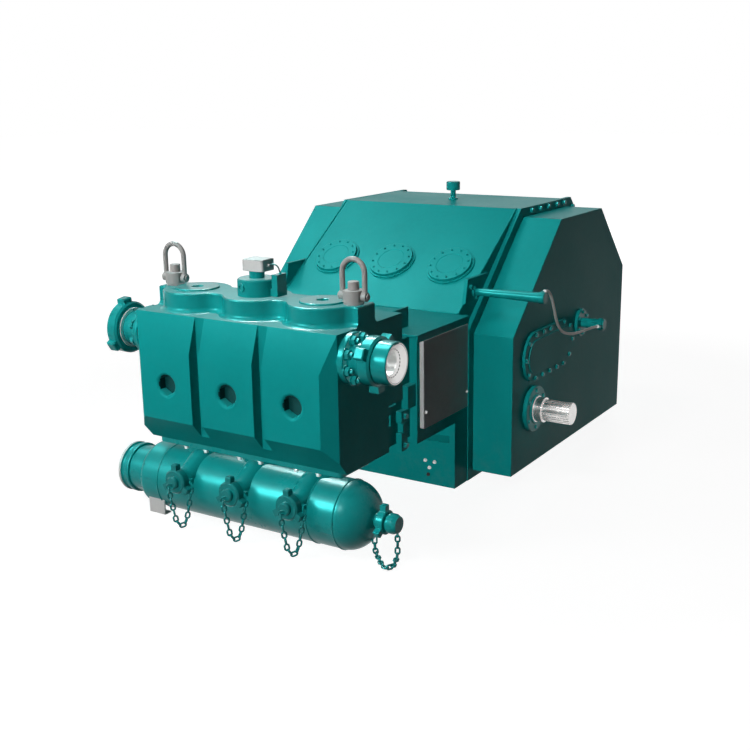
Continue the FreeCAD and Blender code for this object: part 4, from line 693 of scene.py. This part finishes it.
class PUMP_OT_cable(bpy.types.Operator):
    """Short cable from the sensor box to its bracket"""
    bl_idname = "pump.cable"
    bl_label = "Sensor cable"

    def execute(self, context):
        route = [(x, VALVE_Y, z) for x, z in ((64, 1058), (77.2, 1063), (93.1, 1062), (106.3, 1052),
                                              (111, 1034))]
        cable = soft_line("sensor_cable_line", [at(*point) for point in route], 0.006, "cable_skin")
        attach(cable, "pump")
        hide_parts("sensor_cable")
        return {"FINISHED"}


def soft_line(name, points, diameter, finish):
    """Round cord whose smooth line is drawn from its route's points"""
    line = bpy.data.curves.new(name, "CURVE")
    line.dimensions = "3D"
    spline = line.splines.new("NURBS")
    spline.points.add(len(points) - 1)
    for corner, point in zip(spline.points, points):
        corner.co = (point.x, point.y, point.z, 1.0)
    spline.order_u = 3
    spline.use_endpoint_u = True
    spline.resolution_u = 12
    line.bevel_depth = diameter / 2
    line.bevel_resolution = 4
    line.use_fill_caps = True
    line.materials.append(finish_of(finish))
    return add_object(name, line)


class PUMP_OT_power_end(bpy.types.Operator):
    """Crank housing, gear cases, sheet cover and spacer with their welds"""
    bl_idname = "pump.power_end"
    bl_label = "Power end"

    def execute(self, context):
        coat = "teal_coat"
        dress("power_frame", coat, 0.0025)
        for side, _ in SIDES:
            dress("gear_case_" + side, coat, 0.0022)
            dress("lug_plate_" + side, coat, 0.002)
        dress("top_cover", coat, 0.002)
        dress("stay_block", coat, 0.002)
        dress("breather", "teal_casting", 0.0015)
        dress("lube_canister", "teal_casting", 0.0015)
        self.spacer_pads(coat)
        beads = []
        for _, sign in SIDES:
            low, high = at(sign * 465.5, 983, 767), at(sign * 465.5, 1545, 1157)
            beads.append(weld_line(low + (high - low) * 0.02, high))
            beads.append(weld_line(at(sign * 484.5, 1046, 350), at(sign * 484.5, 1046, 690)))
            beads.append(weld_line(at(sign * 465.5, 2062, 1151), at(sign * 465.5, 2390, 829)))
        beads.append(weld_line(at(-464, 983.5, 768), at(464, 983.5, 768)))
        finish_piece(join(beads), "housing_welds", coat)
        return {"FINISHED"}

    def spacer_pads(self, coat):
        """Stepped clamp pads on both sides of the spacer"""
        pads, inner = [], 448
        for _, sign in SIDES:
            for x, y0, y1, z0, z1 in ((475, 497, 545, 296, 372), (475, 509, 545, 372, 412),
                                      (475, 497, 545, 412, 462), (480, 540, 604, 462, 556)):
                pad = add_shape(bpy.ops.mesh.primitive_cube_add, size=1.0,
                                location=at(sign * (x + inner) / 2, (y0 + y1) / 2, (z0 + z1) / 2),
                                scale=((x - inner) / 1000, (y1 - y0) / 1000, (z1 - z0) / 1000))
                edit()
                round_edges(0.002)
                done()
                pads.append(pad)
        finish_piece(join(pads), "spacer_pads", coat)


class PUMP_OT_housing_bolts(bpy.types.Operator):
    """Bolts through the side flanges, lug plates, spacer and base"""
    bl_idname = "pump.housing_bolts"
    bl_label = "Housing bolts"

    def execute(self, context):
        size = context.scene.pump_fasteners.flange_bolt
        rows = ((FLANGE_X, 0.3, [(y, 1139) for y in (1661, 1757, 1851, 1950, 2039)]),
                (484.0, 0.1, [(1060, 873), (1109, 823)]),
                (475.0, 0.2, [(522, 318), (522, 440)]),
                (FLANGE_X, 0.3, [(2150, 1110), (2210, 1051), (2270, 992), (2330, 933), (2376, 888)]))
        places = [(at(sign * x, y, z), X * sign, spin)
                  for _, sign in SIDES for x, spin, spots in rows for y, z in spots]
        spread(hex_head(size, size * 1.1), "flange_bolts", places, "teal_fastener")
        for name, spots, finish, slot in (
                ("base_plugs", ((337, 108), (384, 107), (358, 77)), "seat_steel", "steel_bright"),
                ("base_drains", ((352, 44),), "gasket", "dark_cap")):
            places = [(at(sign * x, 927.0, z), -Y, 0.4) for _, sign in SIDES for x, z in spots]
            spread(hex_head(0.0068, 0.007), name, places, finish)
        return {"FINISHED"}


class PUMP_OT_case_covers(bpy.types.Operator):
    """Oval and round covers on the gear cases with their bolts"""
    bl_idname = "pump.case_covers"
    bl_label = "Gear case covers"

    def execute(self, context):
        casting = "teal_casting"
        size = context.scene.pump_fasteners.cover_bolt
        oval = [(y, z) for z in (640, 444) for y in (1290, 1368, 1446, 1524, 1602)]
        oval += [(1671, 611), (1700, 542), (1671, 473), (1221, 473), (1192, 542), (1221, 611)]
        places = []
        for side, sign in SIDES:
            dress("oval_cover_" + side, "teal_coat", 0.0015)
            dress("pinion_cover_" + side, casting, 0.0015)
            places += [(at(sign * 692.5, y, z), X * sign, 0.2) for y, z in oval]
            places += [(at(sign * 695.0, PINION_Y + y, PINION_Z + z), X * sign, 0.2)
                       for y, z in around(6, 86, 30)]
        spread(hex_head(size, size * 0.9), "cover_bolts", places, "teal_fastener")
        dress("lube_flange", casting, 0.0012)
        ring = [(at(694.5, 1825 + y, 596 + z), X, 0.1) for y, z in around(6, 51, 30)]
        spread(hex_head(0.008, 0.008), "lube_flange_bolts", ring, "teal_fastener")
        return {"FINISHED"}


class PUMP_OT_inspection_covers(bpy.types.Operator):
    """Three round covers on the slope with their small bolts"""
    bl_idname = "pump.inspection_covers"
    bl_label = "Inspection covers"

    def execute(self, context):
        coat = "teal_coat"
        top = Vector((0, 1545, 1157))
        down = Vector((0, 983 - 1545, 767 - 1157)).normalized()
        out = Vector((0, down.z, -down.y))
        centre = top + down * 405 + out * 20
        places = []
        for number, x in enumerate(CYLINDERS, 1):
            cover = dress("inspection_cover_%d" % number, coat, 0.0018)
            self.lift_dish(cover, at(x, centre.y, centre.z), out)
            for across, fall in around(12, 88, 15):
                spot = centre + down * fall
                places.append((at(x + across, spot.y, spot.z), out, 0.1))
        spread(socket_screw(0.0046, 0.0035), "inspection_screws", places, coat)
        return {"FINISHED"}

    def lift_dish(self, cover, face, out):
        """Bring the shallow dish almost level with the cover's face, as the painted cover reads"""
        hold(cover)
        edit()
        choose_corners(lambda place: (place - face).dot(out) < -0.002
                       and ((place - face) - out * (place - face).dot(out)).length < 0.064)
        bpy.ops.transform.translate(value=out * 0.0032)
        done()


class PUMP_OT_input_shaft(bpy.types.Operator):
    """Bright splined shaft with its centre hole"""
    bl_idname = "pump.input_shaft"
    bl_label = "Input shaft"

    def execute(self, context):
        dress("pinion_shaft", "turned_steel", 0.0008)
        centre = turned([(0, 0.012), (0.0006, 0.0115), (0.0006, 0.0085), (-0.004, 0.006), (-0.012, 0.0055),
                         (-0.014, 0.001)], 24)
        placed(centre, at(870.2, PINION_Y, PINION_Z), X)
        # Painted shade: the centre hole's shallow cone takes the near-black finish.
        finish_piece(centre, "shaft_centre_hole", "gasket", "input_shaft")
        return {"FINISHED"}


class PUMP_OT_doors(bpy.types.Operator):
    """Pale side doors with a folded rim and their screws"""
    bl_idname = "pump.doors"
    bl_label = "Side doors"

    def execute(self, context):
        places = []
        for side, sign in SIDES:
            dress("side_door_" + side, "door_coat", 0.0025)
            for y in (618, 973):
                places.append((at(sign * 515.0, y, 436), X * sign, 0.0))
        spread(socket_screw(0.0065, 0.0045), "door_screws", places, "seat_steel")
        return {"FINISHED"}


class PUMP_OT_fluid_end(bpy.types.Operator):
    """Forged block with its lobed deck, discharge valve covers and gauge adaptor"""
    bl_idname = "pump.fluid_end"
    bl_label = "Fluid end"

    def execute(self, context):
        casting = "teal_casting"
        block = dress("fluid_end_block", casting, 0.003, least=0.012, keep=lambda middle: middle.z > 0.87,
                      first=self.socket_rims)
        finish_faces(block, "teal_coat",
                     lambda middle, normal: middle.z < 0.86 or normal.z > 0.995)
        front_y = -BASE_MID_Y / 1000
        # Painted shade: the sockets' floors, and the walls that do not face up, take the dark teal finish.
        finish_faces(block, "socket_painted_shade", lambda middle, normal: (
            abs(middle.z - SOCKET_Z / 1000) < 0.06 and front_y + 0.0085 < middle.y < front_y + 0.05
            and min(abs(middle.x - x / 1000) for x in CYLINDERS) < 0.06 and normal.z < 0.3))
        for side, _ in SIDES:
            dress("valve_cover_" + side, casting, 0.0015)
        dress("gauge_adaptor", casting, 0.0015)
        shell = dress("pressure_sensor", "sensor_case", 0.004, 3)
        _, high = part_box("pressure_sensor")
        # Painted shade: the sensor's top faces take a darker grey than its sides.
        finish_faces(shell, "hoist_grey", lambda middle, normal: middle.z > high.z - 0.0035)
        plug = turned([(0, 0.017), (0.004, 0.017), (0.005, 0.0155), (0.005, 0.010), (-0.004, 0.0095)], 24)
        turn, reach = math.radians(-14), 76
        side_port = Vector((math.sin(turn), -math.cos(turn), 0))
        placed(plug, at(side_port.x * reach, VALVE_Y + side_port.y * reach, 975), side_port)
        finish_piece(plug, "adaptor_plug", casting)
        return {"FINISHED"}

    def socket_rims(self):
        """Wide chamfer round the mouth of each hexagon socket"""
        mouth = -BASE_MID_Y / 1000 + 0.0005

        def at_mouth(edge):
            middle = middle_of(edge)
            near = min(math.hypot(middle.x - x / 1000, middle.z - SOCKET_Z / 1000) for x in CYLINDERS)
            return max(edge.verts[0].co.y, edge.verts[1].co.y) < mouth and near < 0.06

        choose("EDGE", at_mouth)
        bpy.ops.mesh.bevel(offset=0.006, segments=1, affect="EDGES", clamp_overlap=True)


class PUMP_OT_unions(bpy.types.Operator):
    """Hammer unions on both ends of the block with their studs and seats"""
    bl_idname = "pump.unions"
    bl_label = "Discharge unions"

    def execute(self, context):
        casting = "teal_casting"
        centre = at(0, UNION_Y, UNION_Z)
        places = []
        for side, sign in SIDES:
            flange = dress("discharge_flange_" + side, casting, 0.002)
            finish_faces(flange, "seat_steel", lambda middle, normal: (
                math.hypot(middle.y - centre.y, middle.z - centre.z)
                < (0.0695 if middle.x > 0.6 else 0.0455)))
            dress("discharge_wing_" + side, casting, 0.0025)
            places += [(at(sign * 508.6, UNION_Y + y, UNION_Z + z), X * sign, 0.2)
                       for y, z in around(8, 80, 22.5)]
        size = context.scene.pump_fasteners.union_nut
        stud = stud_and_nut(size, 0.019, 0.0095, 0.013)
        spread(stud, "union_studs", places, "teal_fastener")
        ring = bead_ring(0.0535, 0.0035, 24)
        placed(ring, at(655, UNION_Y, UNION_Z), X)
        finish_piece(ring, "seat_ring", "gasket")
        band = add_shape(bpy.ops.mesh.primitive_torus_add, major_segments=64, minor_segments=12,
                         major_radius=0.0785, minor_radius=0.003)
        edit()
        choose_all()
        bpy.ops.transform.resize(value=(1, 1, 1.6))
        done()
        placed(band, at(-590.5, UNION_Y, UNION_Z), X)
        finish_piece(band, "left_seal_band", "pale_gasket")
        return {"FINISHED"}


class PUMP_OT_hoist_rings(bpy.types.Operator):
    """Swivel hoist rings on the deck"""
    bl_idname = "pump.hoist_rings"
    bl_label = "Hoist rings"

    def execute(self, context):
        grey = "hoist_grey"
        for side, _ in SIDES:
            dress("hoist_bolt_" + side, grey, 0.0012)
            dress("hoist_swivel_" + side, grey, 0.0025)
            dress("hoist_bail_" + side, grey, 0.001)
        return {"FINISHED"}


class PUMP_OT_manifold(bpy.types.Operator):
    """Suction manifold with its caps, coupling, plate and weld beads"""
    bl_idname = "pump.manifold"
    bl_label = "Suction manifold"

    def execute(self, context):
        casting = "teal_casting"
        gloss = "teal_gloss"
        dress("manifold_pipe", gloss, 0.002)
        dress("manifold_dome", gloss, 0.0012)
        dress("manifold_flange", gloss, 0.003)
        coupling = dress("suction_coupling", gloss, 0.003)
        finish_faces(coupling, "pale_gasket", lambda middle, normal: middle.x < -0.6595)
        for number in (1, 2, 3):
            dress("port_stub_%d" % number, casting, 0.0015)
            # Painted shade: the caps take the darker coat.
            dress("port_cap_%d" % number, "teal_fitting_painted_shade", 0.002)
        dress("end_cap", casting, 0.002)
        beads = []
        for radius, wire, ripples, way, spots in (
                (0.1352, 0.0035, 60, X, [(x, MANIFOLD_Y, MANIFOLD_Z) for x in (-421.0, 330.0, 450.0)]),
                (0.0985, 0.004, 46, X, [(-526.0, MANIFOLD_Y, MANIFOLD_Z)]),
                (0.0705, 0.0035, 34, Z, [(x, 200, 301.5) for x in CYLINDERS]),
                (0.0405, 0.003, 22, Y, [(x, 54, 200) for x in PORTS]),
                (0.0305, 0.0028, 18, X, [(556, MANIFOLD_Y, MANIFOLD_Z)])):
            beads += [placed(bead_ring(radius, wire, ripples), at(*spot), way) for spot in spots]
        finish_piece(join(beads), "manifold_welds", gloss)
        finish_piece(join([self.branch(x) for x in PORTS]), "port_branches", gloss)
        self.foot()
        places = [(at(x + shift, y, 304.0), -Z, 0.2)
                  for x in PORTS for shift in (-52.0, 52.0) for y in (112.0, 284.0)]
        # The plate bolts take the pale bare-steel finish, partly as a painted highlight along the plate's
        # lower edge.
        spread(hex_head(0.0105, 0.012), "plate_bolts", places, "seat_steel")
        return {"FINISHED"}

    def branch(self, x):
        """Flared tube that carries a front port up and back to the plate"""
        sections = ((20, 199, 39), (44, 204, 40.5), (66, 214, 42.5), (90, 227, 44.5), (116, 240, 46.5),
                    (144, 250, 48), (176, 256, 49))
        return draw_out([(at(x, y, z), radius / 1000) for y, z, radius in sections], 56, (math.pi / 2, 0, 0))

    def foot(self):
        """Bare folded plate on which the manifold's left end stands"""
        plate = add_shape(bpy.ops.mesh.primitive_cube_add, size=1.0, location=at(-449, 57, 42),
                          scale=(0.086, 0.006, 0.080))
        edit()
        choose_faces(lambda middle, normal: normal.y < -0.9)
        bpy.ops.mesh.subdivide(number_cuts=3)
        low_edge = at(0, 0, 22).z
        choose_faces(lambda middle, normal: normal.y > 0.9)
        bpy.ops.mesh.subdivide(number_cuts=3)
        choose_faces(lambda middle, normal: normal.y > 0.9 and middle.z < low_edge)
        bpy.ops.mesh.extrude_region_move()
        bpy.ops.transform.translate(value=(0, 0.03, 0))
        bpy.ops.transform.resize(value=(1, 1, 0.3), center_override=at(-449, 57, 2))
        round_edges(0.0015)
        done()
        finish_piece(plate, "manifold_foot", "door_coat")


class PUMP_OT_chains(bpy.types.Operator):
    """Keeper chains of round wire links"""
    bl_idname = "pump.chains"
    bl_label = "Keeper chains"

    def execute(self, context):
        merged_copy("cap_chains", "link_places")
        edit()
        choose_all()
        bpy.ops.mesh.separate(type="LOOSE")
        done()
        guides = [o for o in context.selected_objects if o.name.startswith("link_places")]
        link = round_link(0.0328, 0.0246, 0.0039)
        copies = []
        for guide in guides:
            centre, along, flat = link_lie(guide)
            copy = add_object("link", link.data.copy())
            turn = Matrix((along, flat.cross(along), flat)).transposed().to_4x4()
            copy.data.transform(Matrix.Translation(centre) @ turn)
            copies.append(copy)
        discard(link, *guides)
        # Painted shade: the links take the darker coat.
        chain = finish_piece(join(copies), "chain_links", "teal_fitting_painted_shade", angle=80.0)
        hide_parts("cap_chains")
        return {"FINISHED"}


def round_link(length, width, wire):
    """Oval ring of round wire: a torus parted in its middle and drawn out"""
    ring = add_shape(bpy.ops.mesh.primitive_torus_add, major_segments=14, minor_segments=8,
                     major_radius=width / 2 - wire, minor_radius=wire)
    edit()
    reach = (length - width) / 2
    for sign in (1, -1):
        choose_corners(lambda place: place.x * sign > 0.0)
        bpy.ops.transform.translate(value=(sign * reach, 0, 0))
    done()
    return ring


def link_lie(guide):
    """Middle, long direction and flat direction of a link's solid"""
    corners = [v.co.copy() for v in guide.data.vertices]
    centre = sum(corners, Vector()) / len(corners)
    far = max(corners, key=lambda c: (c - centre).length)
    flat = max((p.normal.copy() for p in guide.data.polygons),
               key=lambda n: sum(p.area for p in guide.data.polygons if abs(p.normal.dot(n)) > 0.99))
    ends = [c for c in corners if (c - centre).length > (far - centre).length * 0.96]
    one_end = [c for c in ends if (c - centre).dot(far - centre) > 0]
    along = sum(one_end, Vector()) / len(one_end) - centre
    along = (along - flat * along.dot(flat)).normalized()
    return centre, along, flat.normalized()


class PUMP_OT_stage(bpy.types.Operator):
    """Pale floor, soft lamps and white surroundings"""
    bl_idname = "pump.stage"
    bl_label = "Stage"

    def execute(self, context):
        lamps = context.scene.pump_lamps
        self.floor(context)
        self.lamp("key_lamp", (-1.6, -4.6, 9.0), (0.0, -0.5, 0.5), 2.2, lamps.key_power)
        self.lamp("side_lamp", (-1.9, -3.9, 2.9), (0.0, -1.2, 0.6), 1.2, lamps.side_power)
        front = self.lamp("front_lamp", (-0.4, -8.6, 5.2), (0.0, -0.5, 0.5), 1.8, lamps.front_power)
        front.data.use_shadow = False
        back = self.lamp("back_lamp", (-1.8, 8.6, 2.6), (0.0, 0.4, 0.5), 2.6, lamps.back_power)
        back.visible_glossy = False
        block, deck = (0.0, -0.8, 0.8), (0.0, -1.45, 1.05)
        for name, place, target, size, power, colour in (
                ("sheen_lamp", (-2.9, -0.6, 5.5), block, 2.6, lamps.sheen_power, (0.2, 1.0, 1.0)),
                ("chamfer_lamp", (-2.1, -4.9, 2.4), block, 1.6, lamps.chamfer_power, (0.2, 1.0, 1.0)),
                ("glint_lamp", (-2.6, 1.5, 4.0), deck, 0.8, lamps.glint_power, (0.75, 1.0, 1.0))):
            glossy = self.lamp(name, place, target, size, power)
            glossy.data.color = colour
            glossy.visible_diffuse = False
        # The glint is for the deck's foot fillets, so it is narrow and passes the lobes in its way.
        glossy.data.spread = math.radians(18.0)
        glossy.data.use_shadow = False
        context.scene.view_settings.view_transform = "Standard"
        world = bpy.data.worlds.new("surroundings")
        context.scene.world = world
        world.use_nodes = True
        tree = world.node_tree
        light = feed(tree, tree.nodes["Background"], Strength=lamps.fill, Color=linear((0.93, 0.97, 1.0)))
        white = add_node(tree, "Background", Strength=1.0, Color=linear((1.0, 1.0, 1.0)))
        show_to_rays(tree, light.outputs["Background"], white.outputs["Background"], "World Output")
        return {"FINISHED"}

    def lamp(self, name, place, target, size, power):
        clear_selection()
        bpy.ops.object.light_add(type="AREA", location=place)
        lamp = bpy.context.object
        lamp.name = name
        lamp.data.shape = "DISK"
        lamp.data.size = size
        lamp.data.energy = power
        lamp.rotation_euler = (Vector(target) - Vector(place)).to_track_quat("-Z", "Y").to_euler()
        return lamp

    def floor(self, context):
        """Plain floor that the camera sees almost white, with the pump's soft shadow"""
        clear_selection()
        bpy.ops.mesh.primitive_grid_add(x_subdivisions=8, y_subdivisions=8, size=60.0)
        floor = context.object
        floor.name = "floor"
        material = bpy.data.materials.new("pale_floor")
        material.use_nodes = True
        tree = material.node_tree
        shader = feed(tree, tree.nodes["Principled BSDF"], Base_Color=linear((0.28, 0.28, 0.28)),
                      Roughness=0.9, Specular_IOR_Level=0.0)
        dull = add_node(tree, "BsdfDiffuse", Color=linear((0.07, 0.07, 0.07)))
        reach = add_node(tree, "VectorMath")
        reach.operation = "LENGTH"
        tree.links.new(add_node(tree, "TexCoord").outputs["Object"], reach.inputs[0])
        glow = add_range(tree, reach.outputs["Value"], 2.2, 5.0, 0.87, 1.0)
        lit = add_node(tree, "Emission", Color=linear((1.0, 1.0, 1.0)), Strength=glow)
        both = add_node(tree, "AddShader")
        tree.links.new(shader.outputs["BSDF"], both.inputs[0])
        tree.links.new(lit.outputs["Emission"], both.inputs[1])
        show_to_rays(tree, dull.outputs["BSDF"], both.outputs["Shader"], "Material Output")
        floor.data.materials.append(material)


class PUMP_PT_panel(bpy.types.Panel):
    """Lists the pump's settings and its pieces in the order they are made"""
    bl_idname = "PUMP_PT_panel"
    bl_label = "Fracturing pump"
    bl_space_type = "VIEW_3D"
    bl_region_type = "UI"
    bl_category = "Pump"

    def draw(self, context):
        for settings in (context.scene.pump_paint, context.scene.pump_fasteners, context.scene.pump_lamps):
            box = self.layout.box()
            for label in settings.bl_rna.properties.keys():
                if label not in {"rna_type", "name"}:
                    box.prop(settings, label)
        for step in STEPS:
            self.layout.operator(step.bl_idname)


SETTINGS = (PaintSettings, FastenerSettings, LampSettings)
STEPS = (PUMP_OT_camera, PUMP_OT_finishes, PUMP_OT_hose, PUMP_OT_cable, PUMP_OT_power_end,
         PUMP_OT_housing_bolts, PUMP_OT_case_covers, PUMP_OT_inspection_covers, PUMP_OT_input_shaft,
         PUMP_OT_doors, PUMP_OT_fluid_end, PUMP_OT_unions, PUMP_OT_hoist_rings, PUMP_OT_manifold,
         PUMP_OT_chains, PUMP_OT_stage)
CLASSES = SETTINGS + STEPS + (PUMP_PT_panel,)


def register():
    for cls in CLASSES:
        bpy.utils.register_class(cls)
    bpy.types.Scene.pump_paint = bpy.props.PointerProperty(type=PaintSettings)
    bpy.types.Scene.pump_fasteners = bpy.props.PointerProperty(type=FastenerSettings)
    bpy.types.Scene.pump_lamps = bpy.props.PointerProperty(type=LampSettings)


def unregister():
    del bpy.types.Scene.pump_lamps
    del bpy.types.Scene.pump_fasteners
    del bpy.types.Scene.pump_paint
    for cls in reversed(CLASSES):
        bpy.utils.unregister_class(cls)


def main():
    register()
    bpy.ops.pump.camera()
    bpy.ops.pump.finishes()
    bpy.ops.pump.hose()
    bpy.ops.pump.cable()
    bpy.ops.pump.power_end()
    bpy.ops.pump.housing_bolts()
    bpy.ops.pump.case_covers()
    bpy.ops.pump.inspection_covers()
    bpy.ops.pump.input_shaft()
    bpy.ops.pump.doors()
    bpy.ops.pump.fluid_end()
    bpy.ops.pump.unions()
    bpy.ops.pump.hoist_rings()
    bpy.ops.pump.manifold()
    bpy.ops.pump.chains()
    bpy.ops.pump.stage()


if __name__ == "__main__":
    main()
